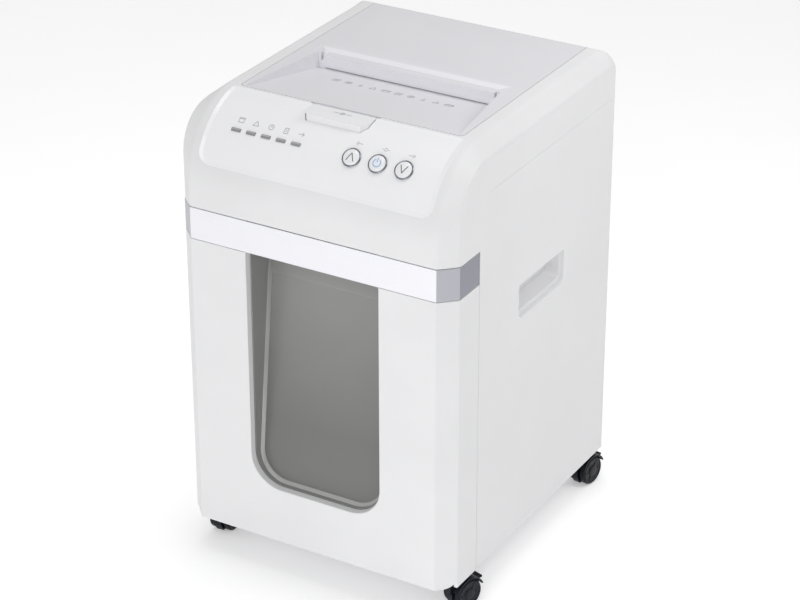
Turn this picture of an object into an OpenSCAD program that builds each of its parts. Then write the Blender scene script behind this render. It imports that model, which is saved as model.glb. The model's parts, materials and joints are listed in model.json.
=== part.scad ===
// Deskside paper shredder with a feed tray under its lid, a pull-out bin and four casters.
// Frame: millimetres, +Z up, the control panel faces -Y, origin on the floor under the centre.

/* [Body] */
// Width of the casing
body_w = 370; // [366:1:376]
// Depth of the casing
body_d = 408; // [404:1:414]
// Height of the casing's flat top above the floor
body_h = 594; // [592:1:600]
// Gap between the floor and the casing
ground_gap = 46; // [45:1:47]
// Radius of the rounded front, from the control panel over to the top
front_r = 98; // [96:1:99]
// Width of the bevel down each front corner, across the casing
chamfer_x = 20; // [16:1:22]
// Width of the bevel down each front corner, along the casing
chamfer_y = 19; // [16:1:22]
// Thickness of the moulded walls
wall = 3; // [2.4:0.1:3.2]

/* [Bin] */
// Height of the seam between the silver band and the upper housing
bin_top = 470; // [468:1:472]
// Height of the silver band
band_h = 42; // [36:1:44]
// How far the bin front wraps round the sides
bin_wrap = 65; // [62:1:66]
// Width of the window
window_w = 176; // [150:2:190]
// Height of the window's lower edge above the floor
window_z = 120; // [114:1:140]

/* [Lid] */
// Width of the feed lid
lid_w = 296; // [292:1:296]
// Depth of the feed lid
lid_d = 313; // [312:1:314]
// Height of the lid's hipped top above the casing's flat top
hip_h = 6; // [4:1:8]

/* [Cutting unit] */
// Width of the cutting unit between its side plates
throat_w = 232; // [228:2:232]
// Distance from one cutting disc to the next
disc_pitch = 6; // [6:1:8]

/* [Controls] */
// Diameter of the push buttons with their rings
button_d = 24; // [22:1:24]
// Distance from one button to the next
button_pitch = 34; // [32:1:36]
// Angle of the buttons and lenses up the rounded front
panel_angle = 45.8; // [42:0.2:48]

/* [Casters] */
// Diameter of the caster wheels
wheel_d = 38; // [36:1:38]
// Angles to which the casters are turned: front left, front right, rear left, rear right
caster_yaws = [4, -18, 8, -10];

/* [Hidden] */
hx = body_w / 2;
hy = body_d / 2;
band_z = bin_top - band_h;
bin_y = -hy + bin_wrap;
seam_z = 535;
head_y = -116;
arc_y = -hy + front_r;
arc_z = body_h - front_r;
arc_steps = 14;

lid_front = -115.5;
lid_back = lid_front + lid_d;
lid_x = lid_w / 2;
lid_skirt_z = body_h - 18;
hinge_r = 4.4;
hinge_y = lid_back - hinge_r;
hinge_z = body_h - 4.6;
hinge_pin_r = 2.5;
lip_y = 16;
lip_z = body_h - 14;
dish_front_x = 142;
dish_back_x = 122;
dish_z = body_h - 20;
skin = 2.5;
slot_x = 114;
slot_y = 24;

tray_x = 117;
tray_z = 556;
tray_flange_z = body_h - 26;

lever_y = slot_y + 14;
lever_z = tray_z - 6;

panel_x = 156;
panel_lo = 17.5;
panel_hi = 82.8;
panel_t = 1.8;
board_depth = 20.4;
board_post_x = 130;
lens_pitch = 20.2;
lens_x = -76.5;
buttons_x = 72;
key_travel = 1.2;
latch_x = -3.5;
latch_back_w = 83;
latch_front_w = 71;
latch_y = -146;

deck_z = 453;
cut_z = 500;
gear_mod = 2;
pinion_mod = 1;
roller_teeth = 20;
roller_gap = gear_mod * roller_teeth;
cut_front_y = slot_y - roller_gap / 2;
cut_rear_y = slot_y + roller_gap / 2;
disc_r = roller_gap / 2 + 1;
core_r = disc_r - 4;
disc_w = disc_pitch / 2 - 0.4;
shaft_r = 8;
plate_x = throat_w / 2;
plate_t = 4;
bush_r = 12;
feed_bush_r = 6.5;
fit = 0.05;
tie_points = [[-20, 470], [-20, 520], [74, 462], [-4, 544]];

drive_teeth = 38;
small_teeth = 14;
large_teeth = 60;
pinion_teeth = 12;
feed_teeth = 27;
pressure_angle = 25;
gear_x = plate_x + plate_t + 3;
gear_w = 9;
drive_x = gear_x + gear_w + 3;
large_x = drive_x + gear_w + 2;

idler_angle = -5;
idler_a = gear_mod * (drive_teeth + small_teeth) / 2;
idler_y = cut_rear_y + idler_a * cos(idler_angle);
idler_z = cut_z + idler_a * sin(idler_angle);
motor_angle = 5;
motor_a = pinion_mod * (large_teeth + pinion_teeth) / 2;
motor_y = idler_y + motor_a * cos(motor_angle);
motor_z = idler_z + motor_a * sin(motor_angle);
motor_r = 38;
motor_end = 96;
feed_angle = 73;
feed_a = gear_mod * (roller_teeth + feed_teeth) / 2;
feed_y = cut_rear_y + feed_a * cos(feed_angle);
feed_z = cut_z + feed_a * sin(feed_angle);
feed_r = 13;
feed_x = 45;
feed_w = 22;

pan_z = 47;
rail_x = 140;
tub_x = 150;
tub_z = 70;
tub_top = 446;
tub_front = -145;
tub_back = 182;
window_r = 40;
pocket_depth = 16;
pocket_slope = 0.117;
pocket_top = bin_top - 12;
rim_depth = 8;
bin_gap = 0.6;

caster_x = 167;
caster_y = 164;
caster_trail = 16;
wheel_gap = 20;
wheel_w = 9;
axle_r = 3;
stem_r = 5;

cover_y = hy - 1.4;
screw_x = 156;
screw_zs = [102, 307, 513];
inlet_x = -110;
inlet_z = 492;
rocker_x = -66;
rocker_y = hy - 9.5;
rocker_tilt = 8;

// ---------- helpers ----------

// Box between two corners
module box(a, b) {
    translate(a) cube(b - a);
}

// Outline in Y and Z, extruded along X from x0 to x1
module yz(x0, x1) {
    translate([x0, 0, 0]) rotate([90, 0, 90]) linear_extrude(x1 - x0) children();
}

// Outline in X and Z, extruded along Y from y0 to y1
module xz(y0, y1) {
    translate([0, y1, 0]) rotate([90, 0, 0]) linear_extrude(y1 - y0) children();
}

// Cylinder along X
module rod_x(x0, x1, y, z, r) {
    translate([x0, y, z]) rotate([0, 90, 0]) cylinder(h = x1 - x0, r = r, $fn = 48);
}

// Tube along X
module ring_x(x0, x1, y, z, r_out, r_in) {
    difference() {
        rod_x(x0, x1, y, z, r_out);
        rod_x(x0 - 1, x1 + 1, y, z, r_in);
    }
}

// The same shape on the left and the right
module both_sides() {
    children();
    mirror([1, 0, 0]) children();
}

// Footprint of the casing, drawn in by o, from the front back to y
function footprint(o, y) =
    let (slant = norm([chamfer_x, chamfer_y]),
         cx = hx - chamfer_x - o * (slant - chamfer_x) / chamfer_y,
         cy = -hy + chamfer_y + o * (slant - chamfer_y) / chamfer_x)
    [[-hx + o, y], [-hx + o, cy], [-cx, -hy + o], [cx, -hy + o], [hx - o, cy], [hx - o, y]];

// Side view of the upper housing: front, top and back drawn in by f, t and b, front rounded to r
function head_side(f, t, b, r, z) = concat(
    [[hy - b, z], [-hy + f, z]],
    [for (i = [0:arc_steps])
        let (a = 90 * i / arc_steps) [-hy + f + r - r * cos(a), body_h - t - r + r * sin(a)]],
    [[hy - b - 6, body_h - t], [hy - b - 1.5, body_h - t - 2], [hy - b, body_h - t - 7]]);

// Solid that fills the upper housing, drawn in by o
module head_solid(o, z) {
    hull() {
        yz(-hx + chamfer_x + 2 + o / 2, hx - chamfer_x - 2 - o / 2)
            polygon(head_side(o, o, o, front_r - o, z));
        yz(-hx + 9 + o, hx - 9 - o) polygon(head_side(10.4 + o, 8 + o, o, 78 - o, z));
        yz(-hx + o, hx - o) polygon(head_side(chamfer_y + o, 25 + o, o, 54 - o, z));
    }
}

// Part of a round shell about the front's centre line, from radius r0 to r1
module front_arc(x0, x1, r0, r1, a0, a1) {
    far = 2 * r1;
    translate([0, arc_y, arc_z]) yz(x0, x1) intersection() {
        difference() {
            circle(r = r1, $fn = 180);
            circle(r = r0, $fn = 180);
        }
        polygon([[0, 0], [-far * cos(a0), far * sin(a0)], [-far * cos(a1), far * sin(a1)]]);
    }
}

// Puts a shape on the rounded front with its +Z out of the surface
module on_front(x, a) {
    translate([x, arc_y - front_r * cos(a), arc_z + front_r * sin(a)])
        rotate([90 - a, 0, 0]) children();
}

// Involute gear outline with tooth 0 along the first axis, turned by phase
function involute(a) = tan(a) * 180 / PI - a;
function gear_points(teeth, m) =
    let (r = teeth * m / 2,
         base = r * cos(pressure_angle),
         root = r - 1.25 * m,
         tip = r + 0.9 * m,
         low = max(base, root + 0.1 * m),
         radii = [root, low, (low + r) / 2, r, (r + tip) / 2, tip],
         slack = 0.07 * m / r * 180 / PI,
         half = [for (q = radii)
             90 / teeth + involute(pressure_angle) - involute(acos(min(1, base / q))) - slack])
    [for (i = [0:teeth - 1], side = [-1, 1], k = [0:5])
        let (j = side < 0 ? k : 5 - k, a = 360 * i / teeth + side * half[j])
        radii[j] * [cos(a), sin(a)]];

// Turn that brings gear 2 into mesh with gear 1, which is turned by a1 and lies at
// direction a from it: gear 2 is seen from gear 1 along a
function mesh_turn(a1, teeth1, a, teeth2) = a + 180 + (180 - (a1 - a) * teeth1) / teeth2;

module gear(x0, x1, y, z, teeth, m, bore, turn) {
    translate([0, y, z]) yz(x0, x1) difference() {
        rotate(turn) polygon(gear_points(teeth, m));
        circle(r = bore, $fn = 48);
    }
}

// Tube swept along a list of points
function path_dir(p, i) =
    let (d = p[min(i + 1, len(p) - 1)] - p[max(i - 1, 0)]) d / norm(d);
function path_side(d) =
    let (s = abs(d[2]) > 0.9 ? cross(d, [0, 1, 0]) : cross(d, [0, 0, 1])) s / norm(s);
module sweep(p, r, sides) {
    rings = [for (i = [0:len(p) - 1])
        let (d = path_dir(p, i), s = path_side(d), t = cross(d, s))
        for (k = [0:sides - 1]) p[i] + r * (s * cos(360 * k / sides) + t * sin(360 * k / sides))];
    last = len(rings) - sides;
    polyhedron(points = rings, faces = concat(
        [[for (k = [0:sides - 1]) k]],
        [for (i = [0:len(p) - 2], k = [0:sides - 1], half = [0, 1])
            let (n = (k + 1) % sides, a = i * sides, b = a + sides)
            half == 0 ? [a + k, b + k, b + n] : [a + k, b + n, a + n]],
        [[for (k = [sides - 1:-1:0]) last + k]]));
}

// Compression spring standing on z0
module coil_spring(x, y, z0, z1, r, wire, turns) {
    steps = 10;
    sweep([for (i = [0:turns * steps])
        let (a = 360 * i / steps, q = i / (turns * steps))
        [x + r * cos(a), y + r * sin(a), z0 + wire + (z1 - z0 - 2 * wire) * q]], wire, 6);
}

// ---------- fixed casing ----------

module cabinet() {
    grip_y = [-43, 71];
    grip_z = [339, 384];
    grip_in = 24;
    color("whitesmoke") difference() {
        union() {
            difference() {
                box([-hx, bin_y, ground_gap], [hx, hy, seam_z]);
                box([-hx + wall, bin_y - 1, ground_gap - 1], [hx - wall, hy - wall, seam_z + 1]);
                box([-hx - 1, bin_y - 1, bin_top], [hx + 1, head_y, seam_z + 1]);
            }
            both_sides() {
                box([hx - grip_in - wall, grip_y[0] - wall, grip_z[0] - wall],
                    [hx - wall, grip_y[1] + wall, grip_z[1] + wall]);
                box([hx - wall - 6, head_y + 10, deck_z - 4], [hx - wall, hy - wall, deck_z]);
                box([hx - wall - 3, bin_y + 6, pan_z + 3], [hx - wall, hy - wall, pan_z + 6]);
            }
        }
        both_sides() {
            box([hx - grip_in, grip_y[0], grip_z[0]], [hx + 1, grip_y[1], grip_z[1]]);
        }
        // opening that the back cover closes
        box([-160, hy - 2 * wall, 90], [160, hy + 1, 525]);
    }
    // frame behind the back cover
    color("whitesmoke") difference() {
        box([-164, hy - wall - 1.5, 86], [164, hy - wall, 529]);
        box([-152, hy - wall - 2, 98], [152, hy, 517]);
        for (x = [-screw_x, screw_x], z = screw_zs)
            translate([x, hy - wall - 3, z]) rotate([-90, 0, 0]) cylinder(h = 4, r = 1.8, $fn = 24);
    }
}

module base_pan() {
    color("lightgrey") difference() {
        union() {
            linear_extrude(3 + pan_z) polygon(footprint(wall + 1.5, hy - wall - 0.5));
            for (x = [-caster_x, caster_x], y = [-caster_y, caster_y])
                translate([x, y, pan_z]) cylinder(h = 18, r = 11, $fn = 48);
            for (x = [-caster_x, caster_x])
                box([x - 1.5, -caster_y, pan_z + 2], [x + 1.5, caster_y, pan_z + 10]);
            for (y = [-120, -40, 40, 120])
                box([-130, y - 1.5, pan_z + 2], [130, y + 1.5, pan_z + 10]);
        }
        box([-hx, -hy, -1], [hx, hy, pan_z]);
        for (x = [-caster_x, caster_x], y = [-caster_y, caster_y])
            translate([x, y, pan_z - 1]) cylinder(h = 17, r = stem_r + fit, $fn = 48);
    }
}

module bin_rails() {
    color("dimgray") both_sides() difference() {
        box([rail_x - 8, -180, pan_z + 3], [rail_x + 2, 190, tub_z - 0.4]);
        box([rail_x - 5, -181, pan_z + 6], [rail_x + 3, 191, tub_z - 4]);
    }
}

module rear_cover() {
    y0 = hy - wall;
    color("gainsboro") difference() {
        box([-159.5, y0, 90.5], [159.5, cover_y, 524.5]);
        for (row = [0:9])
            box([10, y0 - 1, 466 + 5.2 * row], [140, hy + 1, 468.6 + 5.2 * row]);
        box([inlet_x - 14.1, y0 - 1, inlet_z - 10.1], [inlet_x + 14.1, hy + 1, inlet_z + 10.1]);
        box([rocker_x - 11.1, y0 - 1, inlet_z - 14.1], [rocker_x + 11.1, hy + 1, inlet_z + 14.1]);
        for (x = [-screw_x, screw_x], z = screw_zs)
            translate([x, y0 - 1, z]) rotate([-90, 0, 0]) cylinder(h = 4, r = 1.8, $fn = 24);
    }
}

module case_screws() {
    color("silver") for (x = [-screw_x, screw_x], z = screw_zs)
        translate([x, cover_y, z]) rotate([-90, 0, 0]) {
            translate([0, 0, -8]) cylinder(h = 8, r = 1.75, $fn = 24);
            difference() {
                cylinder(h = 1.4, r = 3.2, $fn = 32);
                box([-0.5, -2, 0.6], [0.5, 2, 2]);
                box([-2, -0.5, 0.6], [2, 0.5, 2]);
            }
        }
}

module head_shell() {
    well_x = lid_x + 0.6;
    well_y0 = lid_front - 0.6;
    well_y1 = lid_back + 0.4;
    color("whitesmoke") difference() {
        union() {
            difference() {
                head_solid(0, bin_top);
                head_solid(wall, bin_top - 1);
            }
            // well that the lid closes into
            box([-well_x - skin, well_y0 - skin, tray_flange_z + 2.5],
                [well_x + skin, well_y1 + skin, body_h - 2]);
        }
        box([-hx - 1, head_y, bin_top - 1], [hx + 1, hy + 1, seam_z]);
        box([-well_x, well_y0, tray_flange_z], [well_x, well_y1, body_h + 1]);
        front_arc(-panel_x - 0.2, panel_x + 0.2, front_r - panel_t, front_r + 3,
            panel_lo, panel_hi + 0.4);
        front_arc(-panel_x + 6, panel_x - 6, front_r - 9, front_r + 3, panel_lo + 4, 76);
        // way for the release button and the lid's tongue
        box([latch_x - 46, latch_y - 4, tray_flange_z], [latch_x + 46, well_y0 + 1, body_h + 1]);
        for (s = [-1, 1])
            rod_x(s * 154 - 6, s * 154 + 6, hinge_y, hinge_z, hinge_pin_r);
    }
    color("whitesmoke") both_sides()
        ring_x(lid_x + 0.6 + skin, 157, hinge_y, hinge_z, 4, hinge_pin_r);
}

module latch_plan(o) {
    polygon([
        [latch_x - latch_back_w / 2 - o, lid_front - 2.2 + o],
        [latch_x - latch_back_w / 2 - o, latch_y + 9],
        [latch_x - latch_front_w / 2 - o, latch_y - o],
        [latch_x + latch_front_w / 2 + o, latch_y - o],
        [latch_x + latch_back_w / 2 + o, latch_y + 9],
        [latch_x + latch_back_w / 2 + o, lid_front - 2.2 + o]]);
}

module control_panel() {
    color("white") difference() {
        front_arc(-panel_x, panel_x, front_r - panel_t, front_r, panel_lo + 0.2, panel_hi);
        for (i = [-2:2])
            on_front(lens_x + i * lens_pitch, panel_angle)
                box([-6.3, -2.2, -9], [6.3, 2.2, 9]);
        for (i = [-1:1])
            on_front(buttons_x + i * button_pitch, panel_angle)
                translate([0, 0, -9]) cylinder(h = 18, r = button_d / 2 - 0.6, $fn = 64);
        translate([0, 0, tray_flange_z]) linear_extrude(60) latch_plan(0.6);
    }
    color("white") for (x = [-board_post_x, board_post_x])
        on_front(x, panel_angle) translate([0, 0, -board_depth]) difference() {
            cylinder(h = board_depth - panel_t + 0.3, r = 3.5, $fn = 32);
            translate([0, 0, -1]) cylinder(h = 10, r = 1.2, $fn = 24);
        }
}

module status_lenses() {
    color("grey") for (i = [-2:2])
        on_front(lens_x + i * lens_pitch, panel_angle) box([-6.2, -2.1, -4], [6.2, 2.1, 0.4]);
}

module button_rings() {
    color("slategray") for (i = [-1:1])
        on_front(buttons_x + i * button_pitch, panel_angle) difference() {
            union() {
                translate([0, 0, -4]) cylinder(h = 4.05, r = button_d / 2 - 0.7, $fn = 64);
                translate([0, 0, 0.05]) cylinder(h = 1.5, r = button_d / 2, $fn = 64);
            }
            translate([0, 0, -5]) cylinder(h = 9, r = button_d / 2 - 1.6, $fn = 64);
        }
}

module panel_board() {
    color("seagreen") on_front(0, panel_angle) {
        difference() {
            box([-136, -18, -board_depth - 1.6], [136, 18, -board_depth]);
            for (x = [-board_post_x, board_post_x])
                translate([x, 0, -board_depth - 2]) cylinder(h = 3, r = 1.6, $fn = 24);
        }
        for (i = [-2:2])
            translate([lens_x + i * lens_pitch, 0, -board_depth]) cylinder(h = 6, r = 2.5, $fn = 24);
        for (i = [-1:1])
            translate([buttons_x + i * button_pitch, 0, -board_depth]) {
                box([-4, -4, 0], [4, 4, 3]);
                translate([0, 0, 3]) cylinder(h = 1, r = 2, $fn = 24);
            }
    }
}

// ---------- cutting unit ----------

module deck_plate() {
    color("lightsteelblue") difference() {
        box([-hx + wall + 0.5, head_y + 4, deck_z], [hx - wall - 0.5, hy - wall - 2, deck_z + 2]);
        box([-slot_x, slot_y - 40, deck_z - 1], [slot_x, slot_y + 40, deck_z + 3]);
        for (x = [-170, 170], y = [-90, 180])
            translate([x, y, deck_z - 1]) cylinder(h = 4, r = 2.2, $fn = 24);
    }
}

module side_plate(x0) {
    top = tray_z - skin - 1;
    difference() {
        yz(x0, x0 + plate_t) polygon([
            [-28, deck_z + 2], [112, deck_z + 2], [112, 512], [80, top], [-10, top], [-28, 535]]);
        for (y = [cut_front_y, cut_rear_y])
            rod_x(x0 - 1, x0 + plate_t + 1, y, cut_z, bush_r);
        rod_x(x0 - 1, x0 + plate_t + 1, feed_y, feed_z, feed_bush_r);
        rod_x(x0 - 1, x0 + plate_t + 1, idler_y, idler_z, 4);
        for (p = tie_points)
            rod_x(x0 - 1, x0 + plate_t + 1, p[0], p[1], 3);
    }
}

module side_plate_left() {
    color("silver") side_plate(-plate_x - plate_t);
}

module side_plate_right() {
    color("silver") side_plate(plate_x);
}

module tie_rods() {
    color("darkgray") for (p = tie_points) {
        rod_x(-plate_x - plate_t, plate_x + plate_t, p[0], p[1], 2.9);
        for (s = [-1, 1])
            rod_x(s * (plate_x + plate_t + 1.5) - 1.5, s * (plate_x + plate_t + 1.5) + 1.5,
                p[0], p[1], 5);
    }
}

module shaft_bushes() {
    color("peru") for (s = [-1, 1]) {
        x0 = s * (plate_x + plate_t / 2) - plate_t / 2;
        for (y = [cut_front_y, cut_rear_y])
            ring_x(x0, x0 + plate_t, y, cut_z, bush_r, shaft_r + fit);
        ring_x(x0, x0 + plate_t, feed_y, feed_z, feed_bush_r, 4 + fit);
    }
}

module stripper_combs() {
    color("dimgray") for (side = [-1, 1]) {
        axis_y = side < 0 ? cut_front_y : cut_rear_y;
        first = -plate_x + 4 + (side < 0 ? 0 : disc_pitch / 2);
        fingers = floor((throat_w - 8) / disc_pitch) - 1;
        bar_y = axis_y + side * (disc_r + 8);
        mid_y = axis_y + side * disc_r;
        difference() {
            union() {
                box([-plate_x, bar_y - 2.5, cut_z - 4], [plate_x, bar_y + 2.5, cut_z + 4]);
                for (i = [0:fingers - 1]) {
                    x = first + (disc_pitch + disc_w) / 2 + i * disc_pitch;
                    box([x - 1, mid_y - 6.5, cut_z - 3], [x + 1, mid_y + 6.5, cut_z + 3]);
                }
            }
            rod_x(-plate_x, plate_x, axis_y, cut_z, core_r + 0.6);
        }
    }
}

// Roller turned from one bar: grooves between the cutting discs
module cutter_roller(y, shift, x_end) {
    first = -plate_x + 4 + shift;
    discs = floor((throat_w - 8 - shift) / disc_pitch);
    color("gray") translate([0, y, cut_z]) rotate([0, 90, 0]) rotate_extrude($fn = 48)
        polygon(concat(
            [[0, -plate_x - plate_t - 6], [shaft_r, -plate_x - plate_t - 6],
             [shaft_r, -plate_x + 1], [core_r, -plate_x + 1]],
            [for (i = [0:discs - 1], k = [0:3])
                [k == 0 || k == 3 ? core_r : disc_r,
                 first + i * disc_pitch + (k < 2 ? 0 : disc_w)]],
            [[core_r, plate_x - 1], [shaft_r, plate_x - 1], [shaft_r, x_end], [0, x_end]]));
}

module cutter_roller_front() {
    cutter_roller(cut_front_y, 0, gear_x + gear_w + 1);
}

module cutter_roller_rear() {
    cutter_roller(cut_rear_y, disc_pitch / 2, drive_x + gear_w + 1);
}

module roller_gear_front() {
    color("darkgray") gear(gear_x, gear_x + gear_w, cut_front_y, cut_z, roller_teeth, gear_mod,
        shaft_r + 0.02, mesh_turn(0, roller_teeth, 180, roller_teeth));
}

module roller_gear_rear() {
    color("darkgray") gear(gear_x, gear_x + gear_w, cut_rear_y, cut_z, roller_teeth, gear_mod,
        shaft_r + 0.02, 0);
}

module drive_gear() {
    color("darkgray") gear(drive_x, drive_x + gear_w, cut_rear_y, cut_z, drive_teeth, gear_mod,
        shaft_r + 0.02, 0);
}

module idler_axle() {
    color("silver") {
        rod_x(plate_x, large_x + gear_w + 3, idler_y, idler_z, 3.98);
        ring_x(large_x + gear_w + 0.6, large_x + gear_w + 1.8, idler_y, idler_z, 6, 3.5);
    }
}

module idler_gear() {
    color("ivory") {
        gear(drive_x, drive_x + gear_w, idler_y, idler_z, small_teeth, gear_mod, 4.05,
            mesh_turn(0, drive_teeth, idler_angle, small_teeth));
        ring_x(drive_x + gear_w, large_x, idler_y, idler_z, 10, 4.05);
        gear(large_x, large_x + gear_w, idler_y, idler_z, large_teeth, pinion_mod, 4.05, 0);
    }
}

module motor() {
    color("dimgray") difference() {
        union() {
            rod_x(-26, motor_end, motor_y, motor_z, motor_r);
            rod_x(motor_end, motor_end + 4, motor_y, motor_z, 12);
            for (z = [motor_z - 20, motor_z + 20])
                box([-20, motor_y - motor_r - 3, z - 3], [90, motor_y - motor_r + 8, z + 3]);
        }
        rod_x(-30, 110, motor_y, motor_z, 4 + fit);
    }
}

module motor_bracket() {
    color("silver") difference() {
        union() {
            box([motor_end, motor_y - 40, deck_z + 2], [motor_end + 3, motor_y + 40, motor_z + 36]);
            box([motor_end, motor_y - 40, deck_z + 2], [112, motor_y + 40, deck_z + 5]);
        }
        rod_x(90, 110, motor_y, motor_z, 12.1);
        for (y = [motor_y - 30, motor_y + 30])
            translate([106, y, deck_z + 1]) cylinder(h = 6, r = 2.2, $fn = 24);
    }
}

module motor_pinion() {
    color("silver") {
        rod_x(-46, large_x, motor_y, motor_z, 4);
        gear(large_x, large_x + gear_w, motor_y, motor_z, pinion_teeth, pinion_mod, 1.5,
            mesh_turn(0, large_teeth, motor_angle, pinion_teeth));
    }
}

module cooling_fan() {
    color("black") {
        ring_x(-44, -32, motor_y, motor_z, 10, 4.02);
        for (a = [0:45:315])
            translate([-38, motor_y, motor_z]) rotate([a, 0, 0]) rotate([0, 0, 24])
                box([-5.5, -1, 9.2], [5.5, 1, 33]);
    }
}

module feed_shaft() {
    color("silver") rod_x(-plate_x - plate_t - 4, gear_x + gear_w + 1, feed_y, feed_z, 4);
}

module feed_rollers() {
    color("darkslategray") for (s = [-1, 1])
        ring_x(s * feed_x - feed_w / 2, s * feed_x + feed_w / 2, feed_y, feed_z, feed_r, 4.02);
}

module feed_gear() {
    color("ivory") gear(gear_x, gear_x + gear_w, feed_y, feed_z, feed_teeth, gear_mod, 4.02,
        mesh_turn(0, roller_teeth, feed_angle, feed_teeth));
}

// ---------- tray, boards and switches ----------

module paper_tray() {
    gear_top = feed_z + gear_mod * (feed_teeth / 2 + 0.9) + 1.5;
    cap = [[gear_x - 2.5, feed_y - 30.3, tray_z - skin],
        [gear_x + gear_w + 2.5, feed_y + 31, gear_top]];
    color("lightgrey") difference() {
        union() {
            box([-tray_x - 2.5, -110, tray_z - skin], [tray_x + 2.5, 191, tray_flange_z]);
            box([-157, -117.5, tray_flange_z], [157, 198.5, tray_flange_z + skin]);
            box([latch_x - 44, latch_y - 4, tray_z - skin], [latch_x + 44, -109, tray_z]);
            box(cap[0] - [2, 2, 0], cap[1] + [2, 2, 2]);
        }
        box([-tray_x, -107.5, tray_z], [tray_x, 188.5, tray_flange_z + 9]);
        box([-slot_x, slot_y - 8, tray_z - 9], [slot_x, slot_y + 8, tray_z + 1]);
        box([-3, slot_y + 7, tray_z - 9], [3, slot_y + 18, tray_z + 1]);
        for (s = [-1, 1])
            box([s * feed_x - 13, feed_y - 15, tray_z - 9], [s * feed_x + 13, feed_y + 15, tray_z + 1]);
        box(cap[0] - [0, 0, 9], cap[1]);
        // ways for the lid's tongue and for the plunger of the lid switch
        box([latch_x - 19, lid_front - 1.6, tray_flange_z - 1],
            [latch_x + 19, -110.2, tray_flange_z + 3]);
        box([133, lid_front, tray_flange_z - 1], [139, lid_front + 5, tray_flange_z + 3]);
    }
    color("lightgrey") {
        for (s = [-1, 1])
            box([s * 5.5 - 1, lever_y - 3, lever_z - 4], [s * 5.5 + 1, lever_y + 5, tray_z - skin]);
        rod_x(-6.5, 6.5, lever_y, lever_z, 1 - fit);
    }
}

module hinge_pins() {
    color("silver") for (s = [-1, 1])
        rod_x(s * 148.5 - 8.5, s * 148.5 + 8.5, hinge_y, hinge_z, hinge_pin_r);
}

module power_inlet() {
    y0 = hy - 22;
    color("black") difference() {
        union() {
            box([inlet_x - 14, y0, inlet_z - 10], [inlet_x + 14, hy, inlet_z + 10]);
            box([inlet_x - 18, cover_y, inlet_z - 14], [inlet_x + 18, hy, inlet_z + 14]);
            box([rocker_x - 11, y0, inlet_z - 14], [rocker_x + 11, hy, inlet_z + 14]);
            box([rocker_x - 13, cover_y, inlet_z - 16], [rocker_x + 13, hy, inlet_z + 16]);
        }
        box([inlet_x - 11.5, y0 + 4, inlet_z - 7.5], [inlet_x + 11.5, hy + 1, inlet_z + 7.5]);
        box([rocker_x - 8.5, y0 + 3, inlet_z - 11.5], [rocker_x + 8.5, hy + 1, inlet_z + 11.5]);
    }
    color("silver") {
        for (p = [[-7, 0], [7, 0], [0, 3.5]])
            box([inlet_x + p[0] - 1, y0 + 3.5, inlet_z + p[1] - 2],
                [inlet_x + p[0] + 1, hy - 4, inlet_z + p[1] + 2]);
        rod_x(rocker_x - 9, rocker_x + 9, rocker_y, inlet_z, 1.2);
    }
}

module rocker_switch() {
    color("black") difference() {
        translate([0, rocker_y, inlet_z]) yz(rocker_x - 8, rocker_x + 8) rotate(-rocker_tilt)
            polygon([[-6, -3], [7, -10.2], [6.2, 0], [7, 10.2], [-6, 3]]);
        rod_x(rocker_x - 9, rocker_x + 9, rocker_y, inlet_z, 1.25);
    }
}

module main_board() {
    color("darkgreen") box([-160, 30, 462], [-158.4, 180, 530]);
    color("darkslategray") {
        box([-158.4, 60, 470], [-134, 96, 500]);
        box([-158.4, 110, 478], [-140, 128, 496]);
        box([-158.4, 40, 506], [-146, 90, 520]);
    }
    color("steelblue") for (y = [140, 160])
        rod_x(-158.4, -136, y, 506, 8);
}

module safety_switches() {
    color("firebrick") {
        box([-130, -hy + wall, bin_top + 6], [-110, -hy + wall + 8, bin_top + 16]);
        box([126, -118, tray_flange_z - 12], [146, -110, tray_flange_z]);
    }
    color("black") {
        box([-122, -hy + wall + 2, bin_top + 0.6], [-118, -hy + wall + 6, bin_top + 6]);
        box([134, lid_front + 1.5, tray_flange_z], [138, lid_front + 3.5, lid_skirt_z - 0.4]);
    }
}

// Smooth route through chosen points
function spline(p, per) = [for (i = [1:len(p) - 3], k = [0:i < len(p) - 3 ? per - 1 : per])
    let (t = k / per)
    0.5 * (2 * p[i] + t * (p[i + 1] - p[i - 1])
        + t * t * (2 * p[i - 1] - 5 * p[i] + 4 * p[i + 1] - p[i + 2])
        + t * t * t * (3 * p[i] - p[i - 1] - 3 * p[i + 1] + p[i + 2]))];

module wire_harness() {
    supply = [[-112, 200, 490], [-112, 181.8, 490], [-116, 168, 484], [-130, 156, 480],
        [-146, 152, 482], [-158, 151, 484], [-170, 151, 485]];
    motor_lead = [[-170, 136, 472], [-158, 134, 470], [-142, 126, 462], [-118, 124, 459],
        [-70, 102, 459], [-26, 82, 461], [-4, 82, 470], [0, 90.9, 478], [4, 100, 480]];
    panel_lead = [[-170, 50, 500], [-158, 44, 503], [-150, 10, 503], [-146, -60, 506],
        [-140, -120, 517], [-128, -146, 536], [-122, -160, 550], [-120, -166, 556]];
    color("dimgray") {
        sweep(spline(supply, 5), 2.6, 8);
        sweep(spline(motor_lead, 5), 2, 8);
        sweep(spline(panel_lead, 5), 2, 8);
    }
}

module latch_spring() {
    color("silver") coil_spring(latch_x, latch_y + 14, tray_z, tray_z + 16, 5, 0.6, 5);
}

// ---------- lid ----------

// Side view of the air over the dished floor and under the hood's lip
function dish_air(o) = [
    [lid_front + 3 - o, body_h - 1.5 - o], [slot_y - 5 + o, dish_z - o],
    [slot_y - 5 + o, lip_z], [lip_y, lip_z], [lip_y, body_h + 20], [lid_front + 3 - o, body_h + 20]];

module dish_plan(o) {
    polygon([
        [-dish_front_x - o, lid_front + 3 - o], [dish_front_x + o, lid_front + 3 - o],
        [dish_back_x + o, slot_y], [-dish_back_x - o, slot_y]]);
}

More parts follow.
